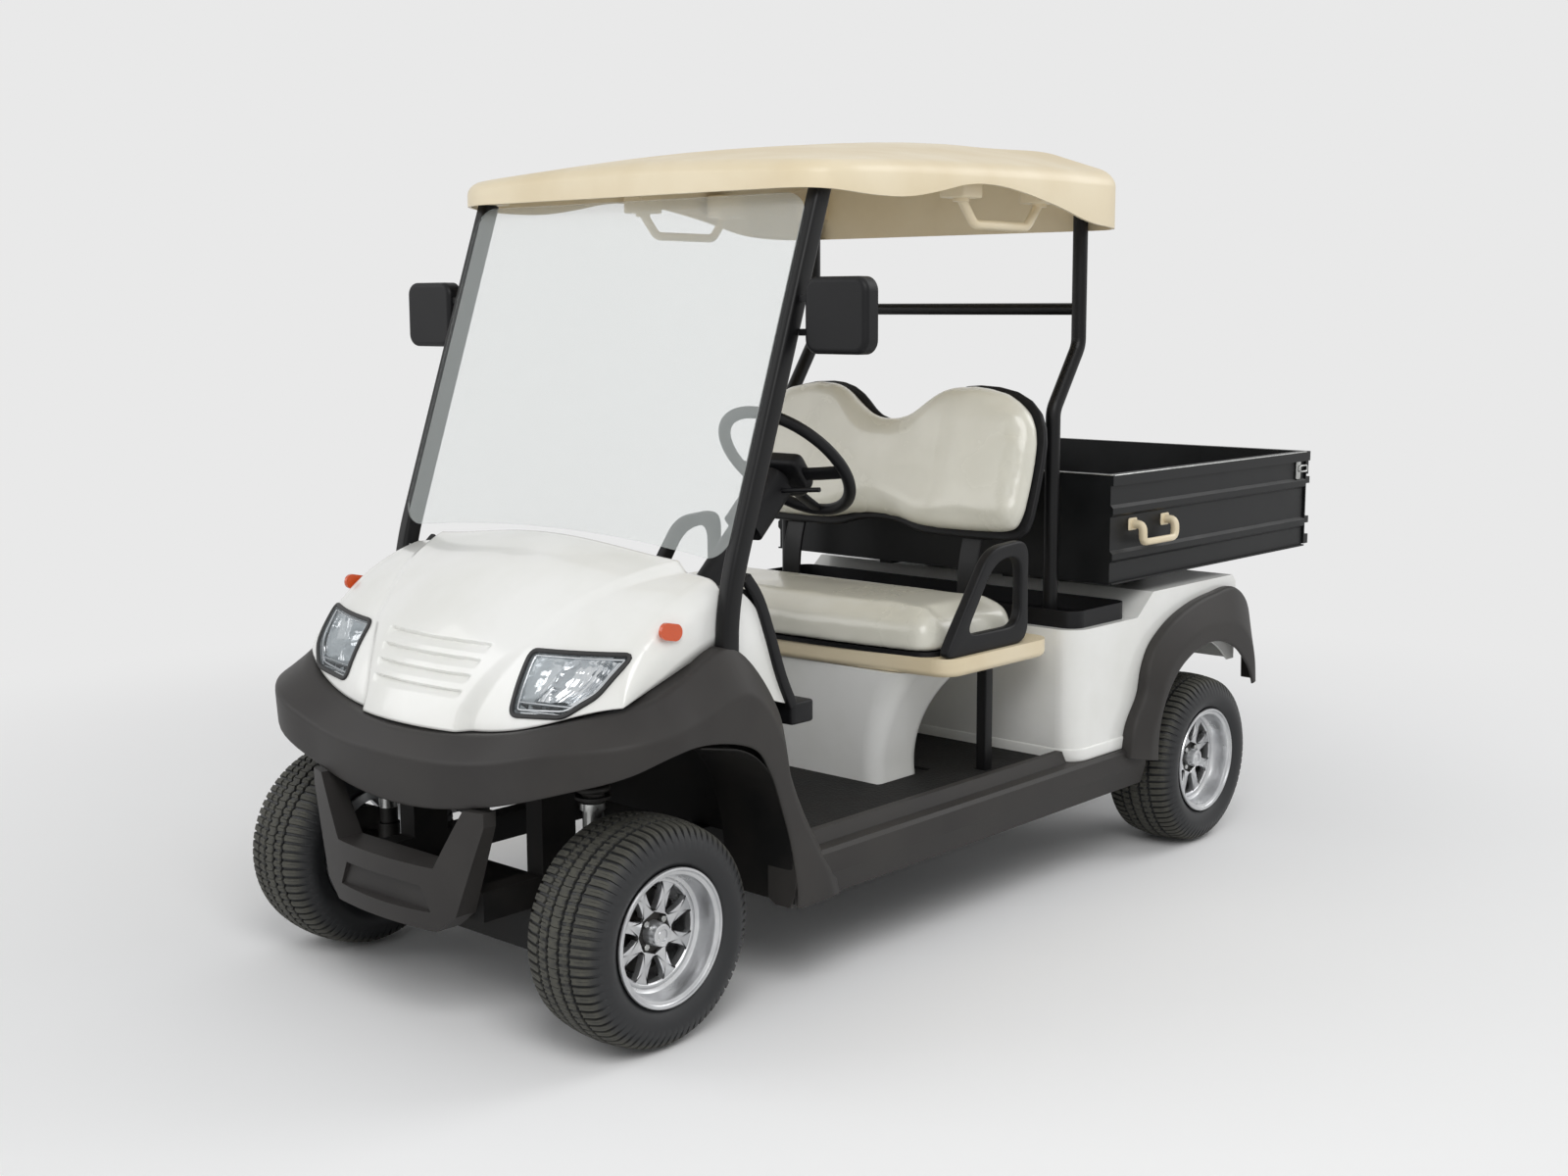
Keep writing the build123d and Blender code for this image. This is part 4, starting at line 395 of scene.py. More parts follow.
def tyre_grid(place, side):
    """The tyre's section turned round the axle and pushed in along its own normal by the grooves. The
    grooves that run round zigzag once a pitch, and the cuts across follow a slant. Dust lies on the tread
    but not in its cuts."""
    half = TYRE_HALF * MM
    left = half[:0:-1] * np.array([-1, 1, 1, 1, 1])
    y, r, round_cut, cross_cut, sipe = np.vstack([left, half]).T
    run_y, run_r = np.gradient(y), np.gradient(r)
    size = np.hypot(run_y, run_r)
    out_y, out_r = -run_r / size, run_y / size
    pitch = np.tile(PITCH, (PITCHES, 1))
    part = (np.repeat(np.arange(PITCHES), len(PITCH)) + pitch[:, 0]) / PITCHES
    cut = np.maximum(round_cut, np.maximum(cross_cut * pitch[:, 1:2], sipe * pitch[:, 2:3]))
    fade = np.clip((0.056 - np.abs(y)) / 0.008, 0, 1)
    zig = ZIGZAG * (2 * np.abs(2 * pitch[:, :1] - 1) - 1) * fade
    slant = 2 * np.pi / PITCHES * SLANT * np.clip(y / 0.08, -1, 1) * np.sign(y + 1e-9)
    turn = 2 * np.pi * part[:, None] + slant
    depth_y, depth_r = y - cut * out_y + zig, r - cut * out_r
    grid = np.stack([depth_r * np.cos(turn), side * depth_y, depth_r * np.sin(turn)], -1) + np.array(place)
    dust = np.clip((r - 0.205) / 0.014, 0, 1) * np.clip(1 - cut / (2.5 * MM), 0, 1)
    return (grid, True, False), dust.ravel()


# Rim: the ring from the outer lip down its stepped dish, round behind the spokes and back. Columns: y, r.
RIM_RING = (
    (0.086, 0.1262), (0.0862, 0.1385), (0.088, 0.1408), (0.0915, 0.1414), (0.094, 0.14), (0.095, 0.1375),
    (0.094, 0.1352), (0.0905, 0.134), (0.089, 0.1322), (0.0884, 0.128), (0.0872, 0.1258), (0.0835, 0.1246),
    (0.07, 0.1238), (0.056, 0.1222), (0.048, 0.1192), (0.0445, 0.115), (0.0432, 0.112), (0.0445, 0.11),
    (0.0452, 0.1075), (0.0445, 0.104), (0.0415, 0.1012), (0.033, 0.1), (0.024, 0.1015), (0.018, 0.113),
    (-0.085, 0.1165), (-0.095, 0.119), (-0.095, 0.1405), (-0.087, 0.1405), (-0.0855, 0.1262), (0.086, 0.1262),
)
HUB_CAP = (
    (0.064, 0.0), (0.064, 0.0085), (0.063, 0.0092), (0.063, 0.0128), (0.0655, 0.0134), (0.066, 0.02),
    (0.0648, 0.0222), (0.06, 0.0236), (0.046, 0.024), (0.04, 0.0252), (0.03, 0.0255), (0.03, 0.0),
)
HUB_PLATE = (
    (0.035, 0.0), (0.035, 0.04), (0.04, 0.0412), (0.0425, 0.043), (0.0425, 0.0462), (0.04, 0.048),
    (-0.022, 0.0485), (-0.022, 0.0),
)
DRUM = ((0.013, 0.0), (0.013, 0.083), (0.0095, 0.087), (-0.04, 0.088), (-0.04, 0.0))
# Half outline of a spoke. Columns: distance from the axle, half width.
SPOKE = ((0.04, 0.0172), (0.045, 0.0145), (0.054, 0.0124), (0.07, 0.0118), (0.086, 0.0124),
         (0.095, 0.0148), (0.101, 0.0192), (0.106, 0.023))


def around(side, angle):
    """Axes of a plane that faces out of the wheel: along a spoke at that angle, and across it."""
    along = np.array([np.cos(angle), 0, np.sin(angle)])
    return along, np.cross(np.array([0, side, 0]), along)


SPOKES, NUTS = 8, 4
NUT_RING, NUT_R = 0.033, 0.0072
spoke_plan = np.array(SPOKE + tuple((r, -w) for r, w in SPOKE[::-1]))
corner = np.linspace(0, 2 * np.pi, 6, endpoint=False)
nut_plan = rounded(NUT_R * np.stack([np.cos(corner), np.sin(corner)], 1), 0.001, 3)
for end, (wheel_x, wheel_y, side) in WHEELS.items():
    place, body = (wheel_x, wheel_y, AXLE_Z), "wheel_" + end
    grid, dust = tyre_grid(place, side)
    tyre = surface(f"tyre_{end}_tread", [grid], tyre_rubber, body, 24.0, [("dust", dust)])
    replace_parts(tyre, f"tyre_{end}")
    arms, nuts = [], []
    for k in range(SPOKES):
        along, across = around(side, (k + 0.5) * 2 * np.pi / SPOKES)
        arms.append(plate(spoke_plan, 0.026, 0.0432, 0.0022, place, along, across))
    for k in range(NUTS):
        along, across = around(side, (k + 0.5) * 2 * np.pi / NUTS)
        seat = np.array(place) + along * NUT_RING
        nuts.append(plate(nut_plan, 0.034, 0.046, 0.0012, seat, along, across))
    ring = [turned(RIM_RING, 96, place, side), turned(HUB_CAP, 48, place, side)]
    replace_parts(surface(f"rim_{end}_cast", ring + arms, alloy, body, 28.0), f"rim_{end}")
    hub = [turned(HUB_PLATE, 48, place, side), turned(DRUM, 48, place, side)]
    surface(f"hub_{end}", hub, iron, body)
    surface(f"lug_nuts_{end}", nuts, zinc, body)


# Seats


VINYL_STEP, VINYL_PRESSURE, VINYL_FRAMES = 0.008, 4.0, 20


def stuffed(piece, cap, held):
    """Foam under vinyl. The shape is meshed evenly and its skin blown up by a steady pressure, with no
    weight, while the points that held(points) picks stay; no point goes further than cap. The skin is formed
    over its foam without creases, so the folds of the simulation are smoothed out at the end."""
    remesh = piece.modifiers.new("even", "REMESH")
    remesh.mode, remesh.voxel_size = "VOXEL", VINYL_STEP
    settled(piece)
    mesh = piece.data
    start = np.empty(3 * len(mesh.vertices))
    mesh.vertices.foreach_get("co", start)
    start = start.reshape(-1, 3)
    group = piece.vertex_groups.new(name="held")
    group.add(np.flatnonzero(held(start)).tolist(), 1.0, "REPLACE")
    cloth = piece.modifiers.new("skin", "CLOTH")
    cloth.point_cache.frame_start, cloth.point_cache.frame_end = 1, VINYL_FRAMES
    rules = cloth.settings
    rules.quality, rules.use_pressure, rules.uniform_pressure_force = 4, True, VINYL_PRESSURE
    rules.effector_weights.gravity, rules.vertex_group_mass = 0.0, "held"
    for step in range(1, VINYL_FRAMES + 1):
        bpy.context.scene.frame_set(step)
    settled(piece)
    mesh = piece.data
    end = np.empty(3 * len(mesh.vertices))
    mesh.vertices.foreach_get("co", end)
    move = end.reshape(-1, 3) - start
    far = np.linalg.norm(move, axis=1, keepdims=True)
    mesh.vertices.foreach_set("co", (start + move * np.minimum(1, cap / np.maximum(far, 1e-9))).ravel())
    bpy.context.scene.frame_set(1)
    piece.vertex_groups.clear()
    calm = piece.modifiers.new("calm", "SMOOTH")
    calm.factor, calm.iterations = 0.5, 24
    settled(piece)
    mesh = piece.data
    mesh.shade_smooth()
    smooth = piece.modifiers.new("fine", "SUBSURF")
    smooth.levels = smooth.render_levels = 1


def settled(piece):
    """Puts the outcome of a piece's modifiers in place of its mesh."""
    bpy.context.view_layer.update()
    done = bpy.data.meshes.new_from_object(piece.evaluated_get(bpy.context.evaluated_depsgraph_get()))
    piece.modifiers.clear()
    piece.data = done


def even(points, count):
    """A closed outline drawn anew with count points at equal steps."""
    loop = np.vstack([points, points[:1]])
    gone = np.concatenate([[0], np.cumsum(np.linalg.norm(np.diff(loop, axis=0), axis=1))])
    at = np.linspace(0, gone[-1], count, endpoint=False)
    return np.stack([np.interp(at, gone, loop[:, k]) for k in range(loop.shape[1])], 1)


def layered(outline, rows, rise=None):
    """A closed solid from an outline seen from above: rows are (drawn in by, scaled to, height) from the
    bottom's middle to the top's middle; rise, where given, turns a row's height into that of each point."""
    middle = outline.mean(0)
    grid = []
    for drawn, scaled, height in rows:
        flat = middle + (inset(outline, drawn) - middle) * scaled
        lift = rise(flat[:, 0], flat[:, 1], height) if rise else np.full(len(flat), height)
        grid.append(np.column_stack([flat, lift]))
    return np.stack(grid, 1), True, False


# Seat cushion: a slab with a bowed front and a domed top
CUSHION_HALF = 0.495
bow = [(0.325 - 0.04 * (y / 0.5) ** 2, y) for y in np.linspace(-CUSHION_HALF, CUSHION_HALF, 9)]
cushion_plan = even(rounded(bow + [(-0.09, CUSHION_HALF), (-0.09, -CUSHION_HALF)], 0.07, 8), 220)
cushion_rows = [
    (0.012, 0.0, 0.656), (0.012, 0.6, 0.656), (0.012, 1, 0.656), (0.003, 1, 0.662), (0.0, 1, 0.674),
    (0.0, 1, 0.694), (0.004, 1, 0.712), (0.013, 1, 0.727), (0.030, 1, 0.738), (0.055, 1, 0.744),
]
cushion_rows += [(0.055, s, 0.744 + 0.006 * (1 - s)) for s in (0.85, 0.65, 0.4, 0.2, 0.0)]
cushion = surface("seat_cushion_vinyl", [layered(cushion_plan, cushion_rows)], vinyl, "seat_lid")
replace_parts(cushion, "seat_cushion")
stuffed(cushion, 0.010, lambda p: p[:, 2] < 0.664)

# Half outline of the seat back, seen square on, from the dip over the hump to the notch in the lower edge
BACK_HALF = np.array([
    (0, 292), (32, 295), (62, 304), (88, 320), (112, 340), (140, 361), (175, 379), (212, 389), (250, 392),
    (310, 389), (366, 378), (412, 357), (446, 327), (467, 290), (477, 250), (480, 205), (480, 120),
    (478, 60), (468, 26), (446, 8), (412, 1), (330, 0), (220, 0), (160, 1), (125, 6), (96, 15), (66, 23),
    (33, 27), (0, 28),
]) * MM
back_plan = even(np.vstack([BACK_HALF, BACK_HALF[-2:0:-1] * np.array([-1, 1])]), 260)[::-1]
BACK_FOOT = np.array([-0.127, 0.0, 0.88])
BACK_UP, BACK_OUT = np.array([-0.2873, 0.0, 0.9578]), np.array([0.9578, 0.0, 0.2873])
pad = plate(back_plan, 0.001, 0.060, 0.027, BACK_FOOT, (0, 1, 0), BACK_UP)
back = surface("seat_back_vinyl", [pad], vinyl)
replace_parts(back, "seat_back_cushion")
stuffed(back, 0.012, lambda p: (p - BACK_FOOT) @ BACK_OUT < 0.006)
shell = plate(inset(back_plan, -0.003), -0.014, 0.003, 0.006, BACK_FOOT, (0, 1, 0), BACK_UP)
shell = surface("seat_back_moulding", [shell], black_abs)
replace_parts(shell, "seat_back_shell")

# Steering wheel: a thick rim, three flat spokes that dive to the hub, a broad hub pad
HUB_AT = np.array([0.530, 0.270, 1.108])
WHEEL_SIDE, WHEEL_DOWN = np.array([0, 1.0, 0]), np.array([-0.692, 0, -0.722])
WHEEL_AXIS = np.array([-0.722, 0, 0.692])
WHEEL_R = 0.162
# Points of a spoke: aside, down, and out along the axis
WHEEL_SPOKE = np.array([(0.03, 0.03, -0.026), (0.075, 0.08, -0.024), (0.158, 0.158, -0.002)])


def in_wheel(points):
    """Points (aside, down, out) of the steering wheel's own frame."""
    return HUB_AT + np.asarray(points, float) @ np.stack([WHEEL_SIDE, WHEEL_DOWN, WHEEL_AXIS])


turn = np.linspace(0, 2 * np.pi, 72, endpoint=False)
rim_path = in_wheel(np.stack([WHEEL_R * np.cos(turn), WHEEL_R * np.sin(turn), 0 * turn], 1))
wheel_parts = [sweep(rim_path, oval(0.029, 0.026), WHEEL_AXIS, True)]
for aside, down in ((1, 0.12), (-1, 0.12), (0, 1)):
    spoke = in_wheel(rounded(WHEEL_SPOKE * np.array([aside, down, 1]), 0.04, 8, False))
    wheel_parts.append(sweep(spoke, oval(0.036, 0.015, 16, 3.0), WHEEL_AXIS))
hub_pad = rounded([(-0.075, -0.042), (0.075, -0.042), (0.062, 0.048), (0.030, 0.078), (-0.030, 0.078),
                   (-0.062, 0.048)], 0.022, 6)
wheel_parts.append(plate(hub_pad, -0.040, -0.004, 0.010, HUB_AT, WHEEL_SIDE, WHEEL_DOWN))
wheel = surface("steering_wheel_moulded", wheel_parts, black_abs, "steering_wheel")
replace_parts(wheel, "steering_wheel")
column = in_wheel([(0, 0, -0.20), (0, 0, -0.13), (0, 0, -0.06)])
stalk = in_wheel([(0.04, 0.0, -0.085), (0.125, 0.0, -0.075), (0.145, 0.0, -0.073)])
shroud = [sweep(column, oval(0.085, 0.080, 24, 3.4), WHEEL_DOWN)]
shroud += [sweep(stalk, oval(0.011, 0.011), WHEEL_AXIS)]
surface("column_shroud", shroud, black_abs)

# Front pillars: rounded tube with a bend at the cowl
pillar_line = rounded(upright([(1.002, 0.708), (1.000, 0.872), (0.715, 1.702)], 0.533), 0.11, 14, False)
pillars = both(sweep(pillar_line, oval(0.036, 0.044, 24, 4.0), (1, 0, 0)))
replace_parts(surface("front_pillar_tubes", pillars, powder_coat), "front_pillars")

# Roof: a lid with a crown, a rolled edge and a skirt whose lower edge waves along the sides
ROOF_X = np.array([-0.415, -0.235, 0.185, 0.535, 0.785])
roof_edge = np.polyfit(ROOF_X, (1.764, 1.770, 1.768, 1.760, 1.746), 4)
roof_crown = np.polyfit(ROOF_X, (1.858, 1.873, 1.848, 1.810, 1.764), 4)
SKIRT_X = (-0.415, -0.35, -0.22, -0.10, 0.06, 0.17, 0.28, 0.38, 0.50, 0.64, 0.785)
SKIRT_Z = (1.648, 1.649, 1.658, 1.688, 1.717, 1.729, 1.727, 1.705, 1.686, 1.686, 1.698)


def roof_height(x, y, drop):
    """Height of the roof's top at a point, less a drop: it falls from the crown to the edge with the square
    of y, and the two rear corners carry low bumps. A drop of None gives the skirt's lower edge, whose wave
    is the mean of its stations over 100 mm."""
    if drop is None:
        near = x[:, None] + np.linspace(-0.05, 0.05, 9)
        return np.interp(near, SKIRT_X, SKIRT_Z).mean(1)
    low, crown = np.polyval(roof_edge, x), np.polyval(roof_crown, x)
    bump = 0.016 * np.exp(-((x + 0.335) / 0.055) ** 2 - ((np.abs(y) - 0.40) / 0.13) ** 2)
    return low + (crown - low) * (1 - np.clip(y / 0.6, -1, 1) ** 2) + bump - drop


roof_plan = even(rounded([(0.785, -0.6), (0.785, 0.6), (-0.415, 0.582), (-0.415, -0.582)], 0.13, 14), 240)
ROLL = 0.034  # radius of the rolled edge
roof_rows = [(ROLL, s, 0.0) for s in (0.0, 0.15, 0.3, 0.45, 0.6, 0.75, 0.88, 1.0)]
roof_rows += [(ROLL * (1 - np.sin(a)), 1.0, ROLL * 0.8 * (1 - np.cos(a)))
              for a in np.linspace(0, np.pi / 2, 6)[1:]]
roof_rows += [(0.0, 1.0, None), (0.008, 1.0, None), (0.010, 1.0, 0.036)]
roof_rows += [(0.030, s, 0.014) for s in (1.0, 0.85, 0.7, 0.5, 0.25, 0.0)]
roof = [layered(roof_plan, roof_rows, roof_height)]
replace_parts(surface("roof_moulding", roof, cream_abs), "roof")
pad_plan = oblong(0.04, 0.035, 0.012, 5)
pads = []
for x, y, tall in ((0.715, 0.533, 0.036), (-0.385, 0.45, 0.06), (0.215, 0.52, 0.06), (-0.095, 0.52, 0.06)):
    pads += both(plate(pad_plan, 0.0, tall, 0.004, (x, y, 1.700), (1, 0, 0), (0, 1, 0)))
surface("roof_pads", pads, cream_abs)

# Headlamps: gasket, bright frame, two deep bowls with flutes, a row of dark cells
LAMP = np.array([(0.268, 0.779), (0.490, 0.786), (0.462, 0.713), (0.405, 0.670), (0.276, 0.660)])
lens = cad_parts["headlamp_lenses"]
lens_tree = BVHTree.FromObject(lens, bpy.context.evaluated_depsgraph_get())
back_to_lens = lens.matrix_world.inverted()
spots = np.stack(np.meshgrid(np.linspace(0.275, 0.48, 14), np.linspace(0.668, 0.776, 9)), -1).reshape(-1, 2)
hits = [lens_tree.ray_cast(back_to_lens @ Vector((2, y, z)), Vector((-1, 0, 0)))[0] for y, z in spots]
met = np.array([(y, z, (lens.matrix_world @ hit).x) for (y, z), hit in zip(spots, hits) if hit])


def terms(y, z):
    """All products of y and z up to the third power, about the lamp's middle."""
    a, b = (y - 0.37) * 10, (z - 0.72) * 10
    return np.stack([a ** i * b ** j for i in range(4) for j in range(4 - i)], -1)


lens_fit = np.linalg.lstsq(terms(met[:, 0], met[:, 1]), met[:, 2], rcond=None)[0]


def on_lens(flat, behind=0.0):
    """Points of the lens seen from ahead as (y, z), moved back by a distance."""
    return np.column_stack([terms(flat[:, 0], flat[:, 1]) @ lens_fit - behind, flat])


LAMP_UP = (1, 0, 0.4)  # out of the lens
lamp_line = even(rounded(LAMP, 0.016, 6), 120)
gasket_line = on_lens(inset(lamp_line, -0.001), 0.001)
gaskets = both(sweep(gasket_line, oval(0.010, 0.008, 12, 3), LAMP_UP, True))
surface("headlamp_gaskets", gaskets, gasket)
# Reflector behind the lens: s runs outwards and t upwards; two elliptic bowls sink in, and flutes cross them
s, t = np.meshgrid(np.linspace(0, 1, 90), np.linspace(0, 1, 50), indexing="ij")
INNER_Y = 0.277
outer_y = np.interp(t, (0, 0.3, 1), (0.424, 0.455, 0.482))
bowl_y, bowl_z = INNER_Y + (outer_y - INNER_Y) * s, 0.689 + 0.088 * t
bowls = sum(np.clip(1 - ((s - c) / w) ** 2 - ((t - 0.52) / 0.60) ** 2, 0, 1) ** 0.6
            for c, w in ((0.20, 0.19), (0.66, 0.27)))
flutes = 0.0016 * np.abs(np.sin(s * 44)) + 0.0016 * np.abs(np.sin(t * 13 + 4 * s))
bowl_x = (terms(bowl_y, bowl_z) @ lens_fit) - 0.012 - 0.042 * bowls - flutes
reflector = (np.stack([bowl_x, bowl_y, bowl_z], -1), False, False)
frame_line = rounded([(0.281, 0.668), (0.281, 0.684), (0.420, 0.687), (0.404, 0.671)], 0.004, 4)
trims = [sweep(on_lens(even(inset(lamp_line, 0.009), 120), 0.007), oval(0.005, 0.004), LAMP_UP, True)]
trims += [sweep(on_lens(even(frame_line, 60), 0.009), oval(0.004, 0.004), LAMP_UP, True)]
surface("headlamp_reflectors", both(reflector, *trims), chrome, sharp=20.0)
cells = []
for low_y, high_y in ((0.286, 0.308), (0.311, 0.342), (0.352, 0.364), (0.369, 0.388), (0.394, 0.404)):
    flat = rounded([(low_y, 0.671), (high_y, 0.672), (high_y, 0.682), (low_y, 0.681)], 0.001, 3)
    middle = on_lens(flat.mean(0)[None], 0.010)[0]
    cells += both(plate(flat - flat.mean(0), -0.003, 0.0, 0.0008, middle, (0, 1, 0), (0, 0, 1)))
surface("headlamp_cells", cells, gasket)

# Bumper and fenders: one skin from leg to leg. Columns: ahead of the axle, y, heading, then reach along the
# heading and height over the floor pan for the lower edge, the ridge, the top and the flange; millimetres
# and degrees.
NOSE = np.array([
    (0, 0, 0, 238, 135, 262, 244, 224, 290, 170, 290), (0, 250, 0, 229, 163, 242, 255, 184, 304, 128, 304),
    (80, 400, 30, 134, 221, 139, 302, 70, 346, 25, 346), (30, 440, 62, 153, 258, 155, 316, 85, 369, 45, 369),
    (20, 500, 90, 100, 283, 100, 325, 46, 386, 0, 386), (-60, 500, 90, 100, 290, 100, 340, 47, 413, 0, 413),
    (-200, 500, 90, 100, 262, 100, 370, 50, 460, 0, 460),
], float)
# Legs behind the front wheels. Columns: x and height at the arch, x and height at the rear edge, share of the
# ridge between them, reach of the ridge and of the top from the leg's inner side.
LEG = np.array([
    (-256, 200, -318, 320, 0.58, 100, 62), (-291, 115, -345, 178, 0.60, 100, 72),
    (-322, 0, -430, 0, 0.74, 104, 84), (-328, -60, -458, -48, 0.76, 109, 96),
    (-330, -103, -476, -103, 0.78, 107, 98),
])
# Rear flares, from the sill over the wheel to the back, in the same columns from the rear axle.
FLARE = np.array([
    (262, -40, 366, -20, 0.40, 58, 40), (264, 20, 346, 58, 0.40, 60, 34),
    (246, 88, 290, 140, 0.40, 60, 30), (222, 130, 276, 196, 0.40, 60, 28),
    (180, 176, 246, 250, 0.40, 60, 28), (112, 216, 166, 306, 0.40, 60, 28),
    (30, 238, 58, 344, 0.40, 60, 28), (-60, 233, -72, 364, 0.40, 60, 28),
    (-142, 200, -186, 366, 0.40, 60, 28), (-196, 155, -250, 318, 0.40, 60, 28),
    (-226, 116, -272, 214, 0.45, 60, 30), (-241, 88, -282, 98, 0.50, 58, 36),
])
LEG_SIDE, LEG_FLANGE, FLARE_SIDE = 500, 20, 580  # inner sides, and the reach of the leg's flange
SKIN = 8.0  # thickness


def through(stations, steps):
    """Rows on cubic curves through the stations; a slope there is the mean of both chords' slopes, the nearer
    one counting more."""
    step = np.diff(stations, axis=0)
    wide = np.linalg.norm(step, axis=-1).mean(1)[:, None, None]
    slope = step / wide
    bend = (slope[1:] * wide[:-1] + slope[:-1] * wide[1:]) / (wide[1:] + wide[:-1])
    bend = np.concatenate([slope[:1], bend, slope[-1:]])
    t = np.linspace(0, 1, steps, endpoint=False)[:, None, None, None]
    rows = (1 + 2 * t) * (1 - t) ** 2 * stations[:-1] + t ** 2 * (3 - 2 * t) * stations[1:]
    rows = rows + wide * (t * (1 - t) ** 2 * bend[:-1] + t ** 2 * (t - 1) * bend[1:])
    return np.concatenate([rows.transpose(1, 0, 2, 3).reshape(-1, *stations.shape[1:]), stations[-1:]])


def skin_corners(foot, reach_axis, rise_axis, reach, rise):
    """Four corners of the outer skin and the four behind them, one skin's thickness in, for each station."""
    reach = np.hstack([reach, reach[:, ::-1] - np.array([0, 0.3, 1, 1]) * SKIN])
    rise = np.hstack([rise, rise[:, ::-1] - np.array([1, 1, 0, 0]) * SKIN])
    foot, reach_axis, rise_axis = foot[:, None], reach_axis[:, None], rise_axis[:, None]
    return (foot + reach[..., None] * reach_axis + rise[..., None] * rise_axis) * MM


def leg_corners(table, datum, side, flange):
    """Corners at stations that stand across the vehicle: they run from the arch to the outer edge, and reach
    out along Y from a side, where the flange ends."""
    run = table[:, 2:4] - table[:, :2]
    far, none = np.linalg.norm(run, axis=1), np.zeros(len(table))
    foot = datum / MM + np.column_stack([table[:, 0], none + side, table[:, 1]])
    rise_axis = np.column_stack([run[:, 0] / far, none, run[:, 1] / far])
    reach = np.column_stack([table[:, 5], table[:, 5], table[:, 6], none + flange])
    rise = np.column_stack([none, table[:, 4] * far, far, far])
    return skin_corners(foot, np.tile([0.0, 1, 0], (len(table), 1)), rise_axis, reach, rise)


def skin(stations, steps, cut):
    """A skin through stations, with every corner of a section rounded; its ends close between its outer and
    its inner face, which are the two halves of a section."""
    grid = np.stack([rounded(row, cut, 5) for row in through(stations, steps)])
    half = grid.shape[1] // 2
    ends = [(np.stack([row[:half], row[:half - 1:-1]]), False, False) for row in (grid[0], grid[-1])]
    return [(grid, False, True)] + ends


heading, level = np.radians(NOSE[:, 2]), np.zeros(len(NOSE))
nose_foot = FRONT_DATUM / MM + np.column_stack([NOSE[:, :2], level])
nose_out = np.column_stack([np.cos(heading), np.sin(heading), level])
nose_up = np.tile([0.0, 0, 1], (len(NOSE), 1))
nose = skin_corners(nose_foot, nose_out, nose_up, NOSE[:, 3::2], NOSE[:, 4::2])
left_half = np.concatenate([nose, leg_corners(LEG, FRONT_DATUM, LEG_SIDE, LEG_FLANGE)])
fender = skin(np.concatenate([left_half[:0:-1] * MIRROR, left_half]), 8, 0.009)
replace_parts(surface("front_fender_skin", fender, grey_pp, sharp=40.0), "front_fender")
flares = both(*skin(leg_corners(FLARE, REAR_DATUM, FLARE_SIDE, 0), 8, 0.010))
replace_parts(surface("rear_flare_skins", flares, grey_pp, sharp=40.0), "rear_flares")

# Liners of the front wheel wells: a black sheet behind each arch
LINER = ((1.14, 0.603), (1.005, 0.576), (0.935, 0.515), (0.897, 0.430), (0.874, 0.318), (0.868, 0.222))
liner = rounded(upright(LINER, 0.497), 0.05, 6, False)
liners = both(sweep(liner, oval(0.004, 0.196, 24, 8.0), (0, 1, 0)))
surface("wheel_well_liners", liners, chassis_paint)

# Cowl: sections at distances from the middle. Columns: y, then x ahead of the axle and height over the floor
# pan at the foot, in the middle and at the windscreen; millimetres.
COWL = np.array([
    (0, 178, 296, 78, 465, -205, 612), (280, 157, 312, 80, 461, -205, 606),
    (420, 122, 352, 45, 467, -205, 600), (515, 70, 376, 0, 470, -205, 585),
], float)
HOOD = np.array([
    (0, 208, 296, 115, 472, -197, 652), (190, 186, 298, 97, 467, -201, 641),
    (430, 120, 320, 50, 462, -205, 622),
], float)
# Plan of the raised hood at a height of 250 mm, columns x, half width; its sides lean in by ten degrees.
HOOD_PLAN = np.array([(-210, 474), (-100, 414), (83, 292), (180, 186), (260, 150)], float)
HOOD_LEAN = np.tan(np.radians(10))
# Louvres: heights of their upper edges, half lengths.
LOUVRES = ((374, 146), (404, 154), (434, 162), (464, 170))
LOUVRE_TALL, LOUVRE_DEEP = 18, 9
COWL_EDGE, COWL_ROUND, COWL_WALL = 515.0, 46.0, 4.0
# Lower edge of the cowl's sides: its foot, and the way from there to the windscreen
SIDE_FOOT, SIDE_RUN = np.array([70.0, 376.0]), np.array([-275.0, 94.0])


def arcs(sections, y, t):
    """Points (x, height) on the circle through the three points of a section; the points run on polynomials
    of the square of y through all sections, and t goes from the foot to the windscreen."""
    powers = np.stack([(sections[:, 0] / COWL_EDGE) ** (2 * k) for k in range(len(sections))], 1)
    rates = np.linalg.solve(powers, sections[:, 1:])
    points = sum((y / COWL_EDGE)[..., None] ** (2 * k) * rates[k] for k in range(len(sections)))
    a, b, c = points[..., 0:2], points[..., 2:4], points[..., 4:6]
    p, q = b - a, c - a
    turn = 2 * (p[..., 0] * q[..., 1] - p[..., 1] * q[..., 0])
    pp, qq = (p ** 2).sum(-1), (q ** 2).sum(-1)
    middle = np.stack([q[..., 1] * pp - p[..., 1] * qq, p[..., 0] * qq - q[..., 0] * pp], -1)
    middle = middle / turn[..., None]
    start, end = [np.arctan2((v - middle)[..., 1], (v - middle)[..., 0]) for v in (0 * p, q)]
    angle = start + t * np.mod(end - start, 2 * np.pi)
    radius = np.linalg.norm(middle, axis=-1)
    return a + middle + radius[..., None] * np.stack([np.cos(angle), np.sin(angle)], -1)


def ease(value):
    """Zero below zero, one above one, and a smooth step between."""
    value = np.clip(value, 0, 1)
    return value ** 2 * (3 - 2 * value)


